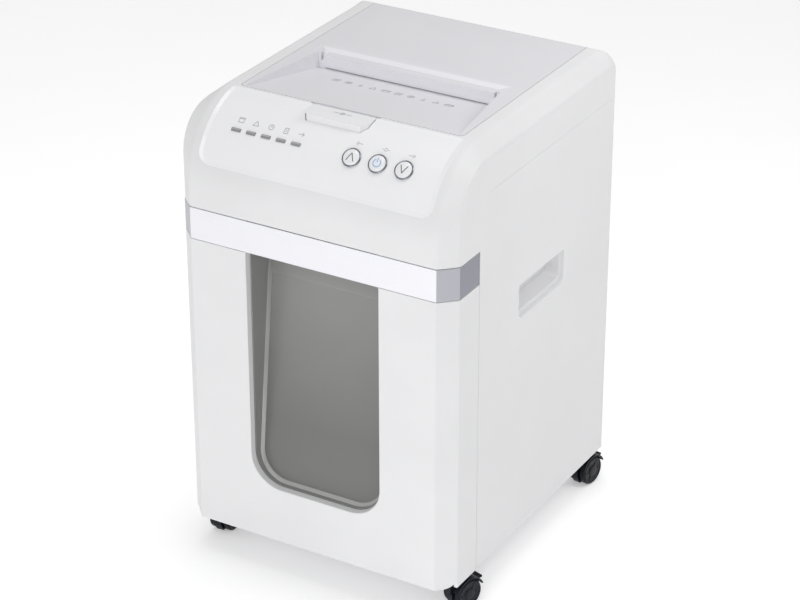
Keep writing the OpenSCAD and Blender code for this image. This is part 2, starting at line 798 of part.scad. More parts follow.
// Space over the dished floor, grown by o
module dish_space(o) {
    intersection() {
        yz(-lid_x, lid_x) polygon(dish_air(o));
        translate([0, 0, tray_z]) linear_extrude(80) dish_plan(o);
    }
}

module lid_top() {
    rear = lid_back - hinge_r;
    box([-lid_x, lid_front, body_h - 4], [lid_x, rear, body_h]);
    box([-lid_x + 0.4, lid_front + 1.2, lid_skirt_z], [lid_x - 0.4, rear - 1, body_h - 2]);
    hull() {
        box([-dish_back_x, lip_y, lip_z], [dish_back_x, lip_y + 4, lip_z + 4.5]);
        box([-132, 39, body_h - 4], [132, 185, body_h]);
        box([-2, 88, body_h], [2, 92, body_h + hip_h]);
    }
}

module lid() {
    rear = lid_back - hinge_r;
    color("whitesmoke") difference() {
        union() {
            difference() {
                lid_top();
                difference() {
                    box([-lid_x + 3, lid_front + 4, lid_skirt_z - 1],
                        [lid_x - 3, rear - 4, body_h - skin]);
                    // the hood's front slope stays
                    yz(-dish_back_x - 2, dish_back_x + 2) polygon([
                        [lip_y - 1, lip_z], [lip_y - 1, body_h + 1],
                        [lip_y + 28, body_h + 1], [lip_y + 28, body_h - skin]]);
                }
            }
            difference() {
                dish_space(skin);
                box([-lid_x, lip_y, lip_z + 2], [lid_x, slot_y, body_h + 40]);
                box([-lid_x, -hy, body_h - 1], [lid_x, slot_y, body_h + 40]);
            }
            // walls of the hand-feed slot and the ribs that hold them
            box([-slot_x - skin, slot_y - 7.5, tray_z + 9], [slot_x + skin, slot_y - 5, dish_z]);
            box([-slot_x - skin, slot_y + 8, tray_z + 9], [slot_x + skin, slot_y + 10.5, body_h - 3]);
            both_sides() {
                box([slot_x, slot_y - 7.5, tray_z + 9], [slot_x + skin, slot_y + 10.5, body_h - 3]);
                box([90, slot_y + 10, lid_skirt_z + 4], [92, rear - 4, body_h - 2]);
            }
            // pockets for the pressure springs
            for (s = [-1, 1]) translate([s * feed_x, feed_y, lid_skirt_z])
                cylinder(h = 17, r = 9, $fn = 48);
            // rounded rear edge with the hinge bores
            rod_x(-lid_x, lid_x, hinge_y, hinge_z, hinge_r);
            // tongue behind the release button
            box([latch_x - 16, lid_front + 1.2, tray_flange_z - 8],
                [latch_x + 16, lid_front + 4, lid_skirt_z + 1]);
        }
        dish_space(0);
        // hand-feed slot, down from the dished floor
        box([-slot_x, slot_y - 5, tray_z + 8], [slot_x, slot_y + 8, lip_z + 1]);
        for (s = [-1, 1]) {
            translate([s * feed_x, feed_y, lid_skirt_z - 1]) cylinder(h = 14, r = 7, $fn = 48);
            rod_x(s * 144 - 5, s * 144 + 5, hinge_y, hinge_z, hinge_pin_r + fit);
        }
    }
}

module pressure_plate() {
    color("lightgrey") {
        difference() {
            box([-62, feed_y - 15, tray_z + 5.5], [62, feed_y + 15, tray_z + 8]);
            for (s = [-1, 1]) translate([s * 20, feed_y, tray_z]) cylinder(h = 9, r = 5, $fn = 32);
        }
        for (s = [-1, 1]) translate([s * feed_x, feed_y, tray_z + 8])
            cylinder(h = 8, r = 3.4, $fn = 32);
    }
}

module pressure_springs() {
    color("silver") for (s = [-1, 1])
        coil_spring(s * feed_x, feed_y, tray_z + 8, lid_skirt_z + 13, 5.4, 0.5, 6);
}

module paper_lever() {
    color("black") translate([0, lever_y, lever_z]) difference() {
        union() {
            yz(-1.2, 1.2)
                polygon([[3, -2], [3, 2], [-8, 5], [-13, 13], [-15, 13], [-13, -3]]);
            rod_x(-4, 4, 0, 0, 2.6);
        }
        rod_x(-5, 5, 0, 0, 1);
    }
}

// ---------- controls ----------

module latch_button() {
    color("white") {
        translate([0, 0, body_h - 16.5]) linear_extrude(15.5) latch_plan(0);
        // flange that holds the button under the control panel
        box([latch_x - 44, latch_y - 2.5, body_h - 18], [latch_x + 44, lid_front - 3.5, body_h - 16]);
        translate([latch_x, latch_y + 14, tray_z + 16])
            cylinder(h = body_h - tray_z - 33, r = 7, $fn = 48);
    }
}

module push_button(x) {
    r = button_d / 2 - 2;
    dome = 1.6;
    ball = (r * r + dome * dome) / (2 * dome);
    on_front(x, panel_angle) {
        translate([0, 0, -3]) cylinder(h = 3.4, r = r, $fn = 64);
        translate([0, 0, 0.3]) intersection() {
            cylinder(h = 2 * dome, r = r, $fn = 64);
            translate([0, 0, dome - ball]) sphere(r = ball, $fn = 96);
        }
        // stem, just clear of its key switch when fully pressed
        translate([0, 0, -board_depth + 4.2 + key_travel])
            cylinder(h = board_depth - 7 - key_travel, r = 2, $fn = 32);
    }
}

module button_reverse() {
    color("white") push_button(buttons_x - button_pitch);
}

module button_power() {
    color("white") push_button(buttons_x);
}

module button_forward() {
    color("white") push_button(buttons_x + button_pitch);
}

// ---------- bin ----------

// Window outline in X and Z, grown by o, up to the height top
module window_outline(o, top) {
    w = window_w / 2 + o;
    r = window_r + o;
    z = window_z - o;
    translate([-w, z + r]) square([2 * w, top - z - r]);
    translate([-w + r, z]) square([2 * (w - r), r + 1]);
    for (s = [-1, 1]) translate([s * (w - r), z + r]) circle(r = r, $fn = 96);
}

// Side view of the space in front of the pocket's sloping wall, moved back by o
module pocket_side(o) {
    y0 = -hy + pocket_depth + o;
    polygon([
        [-hy - 1, window_z - 20], [y0 - 20 * pocket_slope, window_z - 20],
        [y0 + pocket_slope * (pocket_top - window_z + 20), pocket_top + 20],
        [-hy - 1, pocket_top + 20]]);
}

module bin_tub() {
    color("lightgrey") {
        difference() {
            box([-tub_x, tub_front, tub_z], [tub_x, tub_back, tub_top]);
            box([-tub_x + skin, tub_front + skin, tub_z + skin],
                [tub_x - skin, tub_back - skin, tub_top + 1]);
            box([-70, tub_front - 1, 170], [70, tub_front + 4, 400]);
        }
        both_sides()
            box([tub_x - skin, -hy + wall, tub_z + 10], [tub_x, tub_front + 1, tub_top - 6]);
        both_sides()
            box([tub_x, tub_front, tub_top - 4], [tub_x + 8, tub_back, tub_top]);
    }
}

module bin_front() {
    color("whitesmoke") difference() {
        translate([0, 0, ground_gap]) linear_extrude(bin_top - ground_gap - 1)
            polygon(footprint(0, bin_y - bin_gap));
        difference() {
            translate([0, 0, ground_gap - 1]) linear_extrude(bin_top)
                polygon(footprint(wall, bin_y + 1));
            // rim round the window
            xz(-hy, -hy + rim_depth) window_outline(3, bin_top - 8);
        }
        // seat for the band
        difference() {
            box([-hx - 1, -hy - 1, band_z], [hx + 1, bin_y + 1, bin_top + 1]);
            translate([0, 0, band_z - 1]) linear_extrude(band_h + 2)
                polygon(footprint(1.6, bin_y + 2));
        }
        xz(-hy - 1, -hy + rim_depth + 1) window_outline(0, band_z + 0.01);
        xz(-hy + wall, -hy + rim_depth + 1) window_outline(0, pocket_top);
    }
}

module bin_band() {
    color("silver") difference() {
        translate([0, 0, band_z + 0.5]) linear_extrude(band_h - 1.5)
            polygon(footprint(0, bin_y - bin_gap));
        translate([0, 0, band_z]) linear_extrude(band_h + 1) polygon(footprint(1.6, bin_y + 1));
    }
}

module bin_window() {
    y0 = -hy + rim_depth;
    color([0.45, 0.45, 0.44, 0.6]) {
        difference() {
            intersection() {
                xz(y0, -hy + 70) window_outline(1, pocket_top);
                yz(-hx, hx) pocket_side(2);
            }
            intersection() {
                xz(y0 - 1, -hy + 70) window_outline(-1, pocket_top - 2);
                yz(-hx, hx) pocket_side(0);
            }
        }
        difference() {
            xz(y0, y0 + 2) window_outline(8, pocket_top);
            xz(y0 - 1, y0 + 3) window_outline(0.5, pocket_top + 1);
        }
    }
}

// ---------- casters ----------

module at_caster(i) {
    side = i % 2 == 0 ? -1 : 1;
    end = i < 2 ? -1 : 1;
    translate([side * caster_x, end * caster_y, 0]) rotate([0, 0, caster_yaws[i]]) children();
}

module caster_frame() {
    r = wheel_d / 2;
    half = wheel_gap / 2 - wheel_w / 2 - 0.8;
    outer = wheel_gap / 2 + wheel_w / 2;
    hood_r = r + 3.2;
    color("darkslategray") difference() {
        union() {
            // stem and turntable
            translate([0, 0, ground_gap - 2]) cylinder(h = 18, r = stem_r, $fn = 48);
            translate([0, 0, r + hood_r - 2])
                cylinder(h = ground_gap + 1 - r - hood_r, r = 10, $fn = 48);
            // body between the wheels
            rod_x(-half, half, caster_trail, r, hood_r - 1);
            box([-half, -8, r + 4], [half, caster_trail, r + hood_r]);
            // hood over the wheels
            difference() {
                rod_x(-outer - 0.5, outer + 0.5, caster_trail, r, hood_r);
                rod_x(-outer - 1, outer + 1, caster_trail, r, r + 1.4);
                box([-outer - 1, -hood_r, -hood_r], [outer + 1, caster_trail + hood_r + 1, r + 8]);
            }
            // brake tab
            box([-7, caster_trail + 17, r + 10], [7, caster_trail + hood_r + 4, r + 12.5]);
        }
        rod_x(-half - 1, half + 1, caster_trail, r, axle_r);
        box([-outer - 1, -hood_r, -hood_r], [outer + 1, caster_trail + hood_r, 4]);
    }
    color("silver") rod_x(-outer + 1, outer - 1, caster_trail, r, axle_r);
}

module caster_wheels() {
    r = wheel_d / 2;
    x0 = wheel_gap / 2 - wheel_w / 2;
    color("black") both_sides()
        translate([x0, caster_trail, r]) rotate([0, 90, 0]) rotate_extrude($fn = 72) polygon([
            [axle_r + fit, 0], [r - 2, 0], [r, 2], [r, wheel_w - 3], [r - 3, wheel_w],
            [axle_r + fit, wheel_w]]);
}

module caster_frame_fl() { at_caster(0) caster_frame(); }
module caster_wheels_fl() { at_caster(0) caster_wheels(); }
module caster_frame_fr() { at_caster(1) caster_frame(); }
module caster_wheels_fr() { at_caster(1) caster_wheels(); }
module caster_frame_rl() { at_caster(2) caster_frame(); }
module caster_wheels_rl() { at_caster(2) caster_wheels(); }
module caster_frame_rr() { at_caster(3) caster_frame(); }
module caster_wheels_rr() { at_caster(3) caster_wheels(); }

cabinet();
base_pan();
bin_rails();
rear_cover();
case_screws();
head_shell();
control_panel();
status_lenses();
button_rings();
panel_board();
deck_plate();
side_plate_left();
side_plate_right();
tie_rods();
shaft_bushes();
stripper_combs();
idler_axle();
motor();
motor_bracket();
paper_tray();
hinge_pins();
power_inlet();
main_board();
safety_switches();
wire_harness();
latch_spring();
lid();
pressure_springs();
pressure_plate();
cutter_roller_front();
roller_gear_front();
cutter_roller_rear();
roller_gear_rear();
drive_gear();
idler_gear();
motor_pinion();
cooling_fan();
feed_shaft();
feed_rollers();
feed_gear();
latch_button();
button_reverse();
button_power();
button_forward();
rocker_switch();
paper_lever();
bin_tub();
bin_front();
bin_band();
bin_window();
caster_frame_fl();
caster_wheels_fl();
caster_frame_fr();
caster_wheels_fr();
caster_frame_rl();
caster_wheels_rl();
caster_frame_rr();
caster_wheels_rr();
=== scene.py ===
"""Looks of the paper shredder: camera, studio, materials and the detailed pieces around the frame."""

import json
import math

import bmesh
import bpy
from mathutils import Matrix, Vector


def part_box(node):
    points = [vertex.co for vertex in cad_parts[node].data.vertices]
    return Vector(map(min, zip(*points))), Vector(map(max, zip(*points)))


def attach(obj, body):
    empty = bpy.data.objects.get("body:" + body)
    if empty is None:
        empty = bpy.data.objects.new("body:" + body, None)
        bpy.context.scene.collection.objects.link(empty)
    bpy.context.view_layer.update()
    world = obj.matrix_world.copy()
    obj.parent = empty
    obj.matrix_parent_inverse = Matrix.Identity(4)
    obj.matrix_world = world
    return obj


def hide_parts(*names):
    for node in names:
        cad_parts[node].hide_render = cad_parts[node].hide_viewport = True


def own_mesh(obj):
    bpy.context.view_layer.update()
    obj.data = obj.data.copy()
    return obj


MM = 0.001
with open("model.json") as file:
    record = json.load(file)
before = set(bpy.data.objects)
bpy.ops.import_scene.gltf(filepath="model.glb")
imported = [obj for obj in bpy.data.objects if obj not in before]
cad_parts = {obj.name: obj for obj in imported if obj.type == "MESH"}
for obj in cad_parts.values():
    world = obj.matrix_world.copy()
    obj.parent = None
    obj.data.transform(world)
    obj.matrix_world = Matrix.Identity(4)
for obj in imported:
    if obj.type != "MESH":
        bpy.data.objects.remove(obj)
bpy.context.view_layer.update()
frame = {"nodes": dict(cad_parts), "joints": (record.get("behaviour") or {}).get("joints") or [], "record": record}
scene = bpy.context.scene
CORNERS = ("fl", "fr", "rl", "rr")


def link_object(name, data):
    obj = bpy.data.objects.new(name, data)
    scene.collection.objects.link(obj)
    return obj


# ---------- camera ----------

CAMERA_AT = Vector((1.4598, -2.4921, 1.7893))
CAMERA_AZIMUTH = math.radians(30.38)
CAMERA_ELEVATION = math.radians(27.30)
CAMERA_ROLL = math.radians(-0.09)
CAMERA_LENS = 119.556


def add_camera():
    data = bpy.data.cameras.new("camera")
    data.lens = CAMERA_LENS
    data.sensor_width = 36.0
    data.clip_start = 0.05
    data.clip_end = 50.0
    camera = link_object("camera", data)
    back = Vector((
        math.sin(CAMERA_AZIMUTH) * math.cos(CAMERA_ELEVATION),
        -math.cos(CAMERA_AZIMUTH) * math.cos(CAMERA_ELEVATION),
        math.sin(CAMERA_ELEVATION),
    ))
    right = Vector((0, 0, 1)).cross(back).normalized()
    up = back.cross(right)
    turn = Matrix((right, up, back)).transposed()
    turn = turn @ Matrix.Rotation(CAMERA_ROLL, 3, "Z")
    camera.matrix_world = Matrix.Translation(CAMERA_AT) @ turn.to_4x4()
    scene.camera = camera


add_camera()

# ---------- materials ----------


class Nodes:
    """Short names for building one node-based material."""

    def __init__(self, name):
        self.material = bpy.data.materials.new(name)
        self.material.use_nodes = True
        self.tree = self.material.node_tree
        self.shader = self.tree.nodes["Principled BSDF"]
        self.place = self.add("ShaderNodeTexCoord", "Object")

    def feed(self, socket, value):
        """Links an input to another node's output, or sets it to a constant."""
        if isinstance(value, bpy.types.NodeSocket):
            self.tree.links.new(value, socket)
        else:
            socket.default_value = value

    def add(self, kind, outlet, inputs=None, **settings):
        """Adds a node with its settings and inputs, and gives one of its outputs."""
        node = self.tree.nodes.new(kind)
        for key, value in settings.items():
            setattr(node, key, value)
        for key, value in (inputs or {}).items():
            self.feed(node.inputs[key], value)
        return node.outputs[outlet]

    def stretched(self, scale):
        return self.add("ShaderNodeMapping", "Vector", {"Scale": scale, "Vector": self.place})

    def noise(self, scale, detail=4.0, rough=0.55, place=None):
        return self.add("ShaderNodeTexNoise", "Fac", {
            "Scale": scale, "Detail": detail, "Roughness": rough, "Vector": place or self.place})

    def cells(self, scale):
        return self.add("ShaderNodeTexVoronoi", "Distance", {"Scale": scale, "Vector": self.place})

    def along(self, source, axis):
        return self.add("ShaderNodeSeparateXYZ", axis, {0: source})

    def facing(self, axis):
        """How far the surface faces along an axis of its object, from -1 to 1."""
        return self.along(self.add("ShaderNodeTexCoord", "Normal"), axis)

    def unsigned(self, source):
        return self.add("ShaderNodeMath", 0, {0: source}, operation="ABSOLUTE")

    def ramp(self, source, low, high, start=0.3, end=0.7):
        node = self.tree.nodes.new("ShaderNodeValToRGB")
        for stop, at, color in zip(node.color_ramp.elements, (start, end), (low, high)):
            stop.position = at
            stop.color = (*color, 1)
        self.feed(node.inputs["Fac"], source)
        return node.outputs["Color"]

    def span(self, source, low, high, start=0.15, end=0.85):
        return self.add("ShaderNodeMapRange", "Result", {
            "From Min": start, "From Max": end, "To Min": low, "To Max": high, "Value": source})

    def mix(self, factor, a, b, blend="MIX"):
        return self.add("ShaderNodeMix", 2, {0: factor, 6: a, 7: b}, data_type="RGBA", blend_type=blend)

    def bump(self, *heights):
        """Bumps the surface by (height, depth in metres) pairs, coarse first."""
        inputs = {}
        for height, depth in heights:
            inputs.update({"Height": height, "Distance": depth})
            inputs["Normal"] = self.add("ShaderNodeBump", "Normal", inputs)
        self.set(Normal=inputs["Normal"])

    def set(self, **values):
        """Feeds the shader's own inputs, named with _ for each space."""
        for key, value in values.items():
            self.feed(self.shader.inputs[key.replace("_", " ")], value)

def shade(color, factor):
    return tuple(min(1.0, c * factor) for c in color)


def grained(m, tone, rough, grain, depth):
    """Gives a moulded plastic its tone with a fine spark-eroded grain and uneven gloss."""
    fine = m.noise(grain, 3.0)
    fleck = m.ramp(fine, (0.94, 0.94, 0.94), (1, 1, 1), 0.2, 0.5)
    m.bump((m.noise(160.0, 1.0), depth), (fine, depth))
    m.set(Base_Color=m.mix(0.5, tone, fleck, "MULTIPLY"),
          Roughness=m.span(m.noise(14.0, 2.0), rough - 0.05, rough + 0.06))


def moulded(m, color, rough, grain, depth, drift=0.03, spec=0.45, coat=0.0):
    """Moulded plastic with a slow drift in tone."""
    tone = m.ramp(m.noise(7.0, 3.0), shade(color, 1 - drift), shade(color, 1 + drift * 0.5))
    grained(m, tone, rough, grain, depth)
    m.set(Specular_IOR_Level=spec, Coat_Weight=coat, Coat_Roughness=0.15)


def plastic_with_painted_facet_light(m, color, rough, grain, depth):
    """Moulded plastic with painted light and shade by facing: painted shade on faces turned to the right, painted
    light on front-facing slopes and stronger painted light on upright front faces.
    """
    tone = m.ramp(m.noise(7.0, 3.0), shade(color, 0.98), shade(color, 1.01))
    # right: painted shade on right-facing faces; slope: painted light on slightly front-facing slopes; upright:
    # painted light on upright front faces
    right, slope, upright_painted_light = (0.0, 1.0, 0.015, 0.04), (1.0, 0.0, -0.1, -0.03), (1.0, 0.0, -0.9, -0.3)
    for axis, ends, painted_light_factor in (("X", right, 0.94), ("Y", slope, 1.08), ("Y", upright_painted_light, 1.3)):
        tone = m.mix(m.span(m.facing(axis), *ends), tone, (*shade(color, painted_light_factor), 1))
    grained(m, tone, rough, grain, depth)
    m.set(Specular_IOR_Level=0.45)


def turned_steel(m, color, rough, axis=0, scratch=900.0, stain=None, wear=0.1):
    """Machined steel: fine turning marks across the axis, oil stains and rubbed patches."""
    stretch = [25.0, 25.0, 25.0]
    stretch[axis] = scratch
    marks = m.noise(1.0, 6.0, 0.7, m.stretched(stretch))
    blotch = m.noise(45.0, 5.0)
    tone = m.ramp(blotch, stain or shade(color, 0.72), color, 0.35, 0.6)
    m.bump((blotch, 0.00002), (marks, 0.00003))
    m.set(Base_Color=m.mix(wear, tone, m.ramp(marks, shade(color, 0.8), shade(color, 1.15))),
          Roughness=m.span(marks, rough - 0.08, rough + 0.12), Metallic=1.0)


def wound_wire(m, color, rough):
    """Drawn spring wire."""
    draw = m.noise(700.0, 3.0)
    m.bump((draw, 0.00002))
    m.set(Base_Color=m.ramp(draw, shade(color, 0.8), shade(color, 1.1)),
          Roughness=m.span(draw, rough - 0.06, rough + 0.1), Metallic=1.0)


def rubbery(m, color, grain=420.0):
    """Rubber with pores and a little dust."""
    dust = m.noise(80.0, 6.0, 0.65)
    m.bump((dust, 0.00008), (m.cells(grain), 0.00006))
    m.set(Base_Color=m.ramp(dust, color, shade(color, 1.7), 0.45, 0.8),
          Roughness=m.span(dust, 0.62, 0.85), Specular_IOR_Level=0.3)


def pearl_silver_with_painted_shade(m, color, shaded_side_color):
    """Painted silver with fine metal flakes under a clear coat, with painted shade where it turns to the sides."""
    flakes = m.cells(2600.0)
    # painted shade: the colour darkens as the surface turns to the sides
    tone = m.ramp(m.unsigned(m.facing("X")), color, shaded_side_color, 0.1, 1.0)
    glint = m.ramp(flakes, (1, 1, 1), (0.6, 0.6, 0.62), 0.0, 0.6)
    m.bump((m.noise(140.0, 2.0), 0.00003), (flakes, 0.000012))
    m.set(Base_Color=m.mix(0.3, tone, glint, "MULTIPLY"), Roughness=m.span(flakes, 0.3, 0.46, 0.0, 0.6),
          Metallic=0.45, Coat_Weight=0.3, Coat_Roughness=0.12)


def smoked(m, low_color, painted_light_color):
    """Smoked clear plastic, satin on its face, with painted light towards its top edge and on its side walls."""
    slow = m.noise(12.0, 3.0)
    # painted light: paler towards the top, and paler on the side walls, which face across
    painted_light_rise = m.span(m.along(m.place, "Z"), 0.0, 1.0, 0.2, 0.4)
    sides = m.span(m.unsigned(m.facing("Y")), 1.0, 0.0, 0.3, 0.9)
    tone = m.mix(sides, m.ramp(painted_light_rise, low_color, painted_light_color, 0.0, 1.0), (*shade(painted_light_color, 1.15), 1))
    m.bump((m.noise(1300.0, 2.0), 0.000012))
    m.set(Base_Color=m.mix(0.5, tone, m.ramp(slow, (0.9, 0.9, 0.9), (1, 1, 1)), "MULTIPLY"),
          Roughness=m.span(slow, 0.26, 0.38), Transmission_Weight=0.15, IOR=1.49,
          Specular_IOR_Level=0.5, Coat_Weight=0.2, Coat_Roughness=0.2)


def dark_chrome(m, color):
    """Dark chrome plate, slightly smeared."""
    smear = m.noise(120.0, 4.0)
    m.bump((m.noise(500.0, 5.0), 0.000006))
    m.set(Base_Color=m.ramp(smear, shade(color, 0.85), shade(color, 1.1)),
          Roughness=m.span(smear, 0.1, 0.22), Metallic=1.0)


def circuit(m, color):
    """Solder mask with buried copper tracks and pale pads."""
    tracks = m.add("ShaderNodeTexBrick", "Color", {
        "Scale": 160.0, "Color1": (*color, 1), "Color2": (*shade(color, 0.8), 1),
        "Mortar": (*shade(color, 1.7), 1), "Mortar Size": 0.06, "Vector": m.stretched((1, 0.8, 1))})
    pads = m.cells(210.0)
    m.bump((pads, 0.00008))
    m.set(Base_Color=m.mix(m.span(pads, 1.0, 0.0, 0.08, 0.14), tracks, (0.72, 0.68, 0.5, 1)),
          Roughness=m.span(pads, 0.25, 0.42, 0.0, 0.3))


def sintered(m, color):
    """Porous sintered bronze."""
    pores = m.cells(1600.0)
    m.bump((pores, 0.00003))
    m.set(Base_Color=m.ramp(pores, shade(color, 0.6), color, 0.05, 0.4),
          Roughness=m.span(m.noise(200.0), 0.3, 0.5), Metallic=1.0)


# each material's recipe and the values it takes
RECIPES = {
    "casing_white": (moulded, (0.775, 0.775, 0.785), 0.42, 1700.0, 0.00002),
    "panel_white": (moulded, (0.87, 0.87, 0.885), 0.24, 900.0, 0.000008, 0.015, 0.5, 0.3),
    # the lid's faces get painted light and shade by the way they face
    "lid_white": (plastic_with_painted_facet_light, (0.715, 0.71, 0.74), 0.4, 1500.0, 0.000028),
    # the band's second colour is painted shade on its side returns
    "band_silver": (pearl_silver_with_painted_shade, (0.93, 0.93, 0.97), (0.26, 0.265, 0.31)),
    # the window's second colour is painted light towards its top
    "window_smoked": (smoked, (0.19, 0.19, 0.183), (0.33, 0.33, 0.325)),
    "ring_chrome": (dark_chrome, (0.36, 0.37, 0.42)),
    "button_white": (moulded, (0.83, 0.83, 0.85), 0.22, 700.0, 0.000006, 0.015, 0.5, 0.4),
    "lens_grey": (moulded, (0.3, 0.3, 0.315), 0.3, 1200.0, 0.00002, 0.08, 0.5, 0.3),
    "steel_bright": (turned_steel, (0.66, 0.66, 0.67), 0.28),
    "steel_plate": (turned_steel, (0.5, 0.52, 0.55), 0.38, 2, 140.0, (0.42, 0.45, 0.46), 0.4),
    "steel_cutter": (turned_steel, (0.34, 0.34, 0.355), 0.34, 0, 1600.0, (0.16, 0.15, 0.14), 0.5),
    "steel_spring": (wound_wire, (0.6, 0.6, 0.62), 0.3),
    "bronze_bush": (sintered, (0.62, 0.38, 0.18)),
    "nylon_natural": (moulded, (0.74, 0.7, 0.6), 0.4, 600.0, 0.00003, 0.06),
    "plastic_black": (moulded, (0.022, 0.022, 0.025), 0.42, 1300.0, 0.00004, 0.25),
    "motor_black": (moulded, (0.045, 0.045, 0.05), 0.36, 900.0, 0.00005, 0.2, 0.5, 0.25),
    "board_green": (circuit, (0.012, 0.12, 0.04)),
    "switch_red": (moulded, (0.42, 0.03, 0.02), 0.3, 900.0, 0.00002, 0.1, 0.5, 0.3),
    "rubber_dark": (rubbery, (0.03, 0.03, 0.033)),
    "tub_grey": (moulded, (0.42, 0.42, 0.44), 0.48, 1100.0, 0.00004, 0.06),
    "cover_grey": (moulded, (0.66, 0.66, 0.68), 0.46, 1300.0, 0.00004),
    "caster_dark": (moulded, (0.006, 0.007, 0.013), 0.4, 900.0, 0.00004, 0.2, 0.22),
    "wheel_dark": (moulded, (0.005, 0.006, 0.012), 0.34, 900.0, 0.00003, 0.3, 0.22),
    "wire_dark": (rubbery, (0.035, 0.035, 0.038), 900.0),
    # a painted highlight for the bead along the pocket's creases
    "window_bead": (smoked, (0.5, 0.5, 0.49), (0.5, 0.5, 0.49)),
    "print_grey": (moulded, (0.1, 0.105, 0.12), 0.5, 900.0, 0.00001, 0.1),
    "print_mid": (moulded, (0.3, 0.3, 0.33), 0.5, 900.0, 0.00001, 0.1),
    "print_pale": (moulded, (0.46, 0.46, 0.5), 0.5, 900.0, 0.00001, 0.1),
    "print_blue": (moulded, (0.22, 0.48, 0.78), 0.4, 900.0, 0.00001, 0.1),
}


def make_material(name, recipe, *values):
    m = Nodes(name)
    recipe(m, *values)
    return m.material


MATERIALS = {name: make_material(name, *recipe) for name, recipe in RECIPES.items()}

# ---------- carried-over CAD nodes ----------

SLOT_OF = {part["node"]: part["material_slot"] for part in frame["record"]["subparts"]}
BEVEL_MM = {
    "cabinet": 0.7, "head_shell": 0.8, "lid": 0.9, "bin_front": 0.8, "bin_band": 0.6,
    "bin_window": 0.6, "bin_tub": 0.8, "base_pan": 0.8, "rear_cover": 0.4, "control_panel": 0.4,
    "latch_button": 0.9, "paper_tray": 0.5, "deck_plate": 0.3, "motor": 0.6, "motor_bracket": 0.3,
    "power_inlet": 0.4, "rocker_switch": 0.4, "pressure_plate": 0.4, "bin_rails": 0.4,
    **{"caster_frame_" + corner: 0.5 for corner in CORNERS},
}
PLAIN_BEVEL_MM = 0.2
NO_BEVEL = {"wire_harness", "latch_spring", "pressure_springs", "cooling_fan"}


def soften(obj, width, segments, angle):
    """Bevels the edges that turn by more than an angle."""
    bevel = obj.modifiers.new("bevel", "BEVEL")
    bevel.width = width * MM
    bevel.segments = segments
    bevel.limit_method = "ANGLE"
    bevel.angle_limit = math.radians(angle)


def finish_cad_node(name, obj):
    obj.data.materials.clear()
    obj.data.materials.append(MATERIALS[SLOT_OF[name]])
    obj.modifiers.new("weld", "WELD").merge_threshold = 0.01 * MM
    if name in NO_BEVEL:
        return
    flat = obj.modifiers.new("flat", "DECIMATE")
    flat.decimate_type = "DISSOLVE"
    flat.angle_limit = math.radians(0.5)
    soften(obj, BEVEL_MM.get(name, PLAIN_BEVEL_MM), 2, 40)
    obj.modifiers.new("normals", "WEIGHTED_NORMAL").keep_sharp = True


for node_name, node_object in frame["nodes"].items():
    finish_cad_node(node_name, node_object)

# ---------- mesh helpers (millimetres in, metres out) ----------


def link_mesh(name, verts, faces):
    mesh = bpy.data.meshes.new(name)
    mesh.from_pydata([Vector(v) * MM for v in verts], [], faces)
    mesh.update()
    return link_object(name, mesh)


def place(plane, u, v, w):
    """Point with u, v in the drawing plane and w along its normal axis."""
    return {"z": (u, v, w), "y": (u, w, v), "x": (w, u, v)}[plane]


def fix_normals(obj):
    bm = bmesh.new()
    bm.from_mesh(obj.data)
    bmesh.ops.remove_doubles(bm, verts=bm.verts, dist=0.002 * MM)
    bmesh.ops.recalc_face_normals(bm, faces=bm.faces)
    bm.to_mesh(obj.data)
    bm.free()
    return obj


def loft(name, rings):
    """Closed skin over rings of points, which all have the same number of points."""
    n = len(rings[0])
    last = n * (len(rings) - 1)
    faces = [list(range(n)), list(range(last, last + n))]
    for i in range(0, last, n):
        faces += [(i + k, i + (k + 1) % n, i + n + (k + 1) % n, i + n + k) for k in range(n)]
    return fix_normals(link_mesh(name, [point for ring in rings for point in ring], faces))


def prism(name, outline, low, high, plane="z"):
    """Outline extruded from low to high along the axis that the plane is named after."""
    return loft(name, [[place(plane, u, v, w) for u, v in outline] for w in (low, high)])


def block(name, low, high):
    return prism(name, rectangle(*low[:2], *high[:2]), low[2], high[2])


def side_block(name, side, low, high):
    """A block given for the right side, where side is 1, or its mirror image on the left."""
    x0, x1 = sorted((side * low[0], side * high[0]))
    return block(name, (x0, *low[1:]), (x1, *high[1:]))


def rounded(points, radii, steps=8):
    """Outline with its corners rounded: one radius, or one for each point."""
    if not hasattr(radii, "__len__"):
        radii = [radii] * len(points)
    out = []
    n = len(points)
    for i, radius in enumerate(radii):
        at = Vector(points[i])
        if radius <= 0:
            out.append(tuple(at))
            continue
        to_last = (Vector(points[i - 1]) - at).normalized()
        to_next = (Vector(points[(i + 1) % n]) - at).normalized()
        half = to_last.angle(to_next) / 2
        reach = radius / math.tan(half)
        centre = at + (to_last + to_next).normalized() * (radius / math.sin(half))
        start = at + to_last * reach - centre
        end = at + to_next * reach - centre
        sweep = start.angle_signed(end)
        for k in range(steps + 1):
            a = -sweep * k / steps
            out.append((centre.x + start.x * math.cos(a) - start.y * math.sin(a),
                        centre.y + start.x * math.sin(a) + start.y * math.cos(a)))
    return out


def rectangle(u0, v0, u1, v1):
    return [(u0, v0), (u1, v0), (u1, v1), (u0, v1)]


def arc_points(r, start, end, steps=36):
    turns = [math.radians(lerp(start, end, k / steps)) for k in range(steps + 1)]
    return [(r * math.cos(t), r * math.sin(t)) for t in turns]


def disc_points(r, steps=48, at=(0, 0)):
    return [(at[0] + u, at[1] + v) for u, v in arc_points(r, 0, 360, steps)[:-1]]


def settle(obj):
    """Applies every modifier to the mesh."""
    depsgraph = bpy.context.evaluated_depsgraph_get()
    mesh = bpy.data.meshes.new_from_object(obj.evaluated_get(depsgraph))
    obj.modifiers.clear()
    obj.data = mesh
    return obj


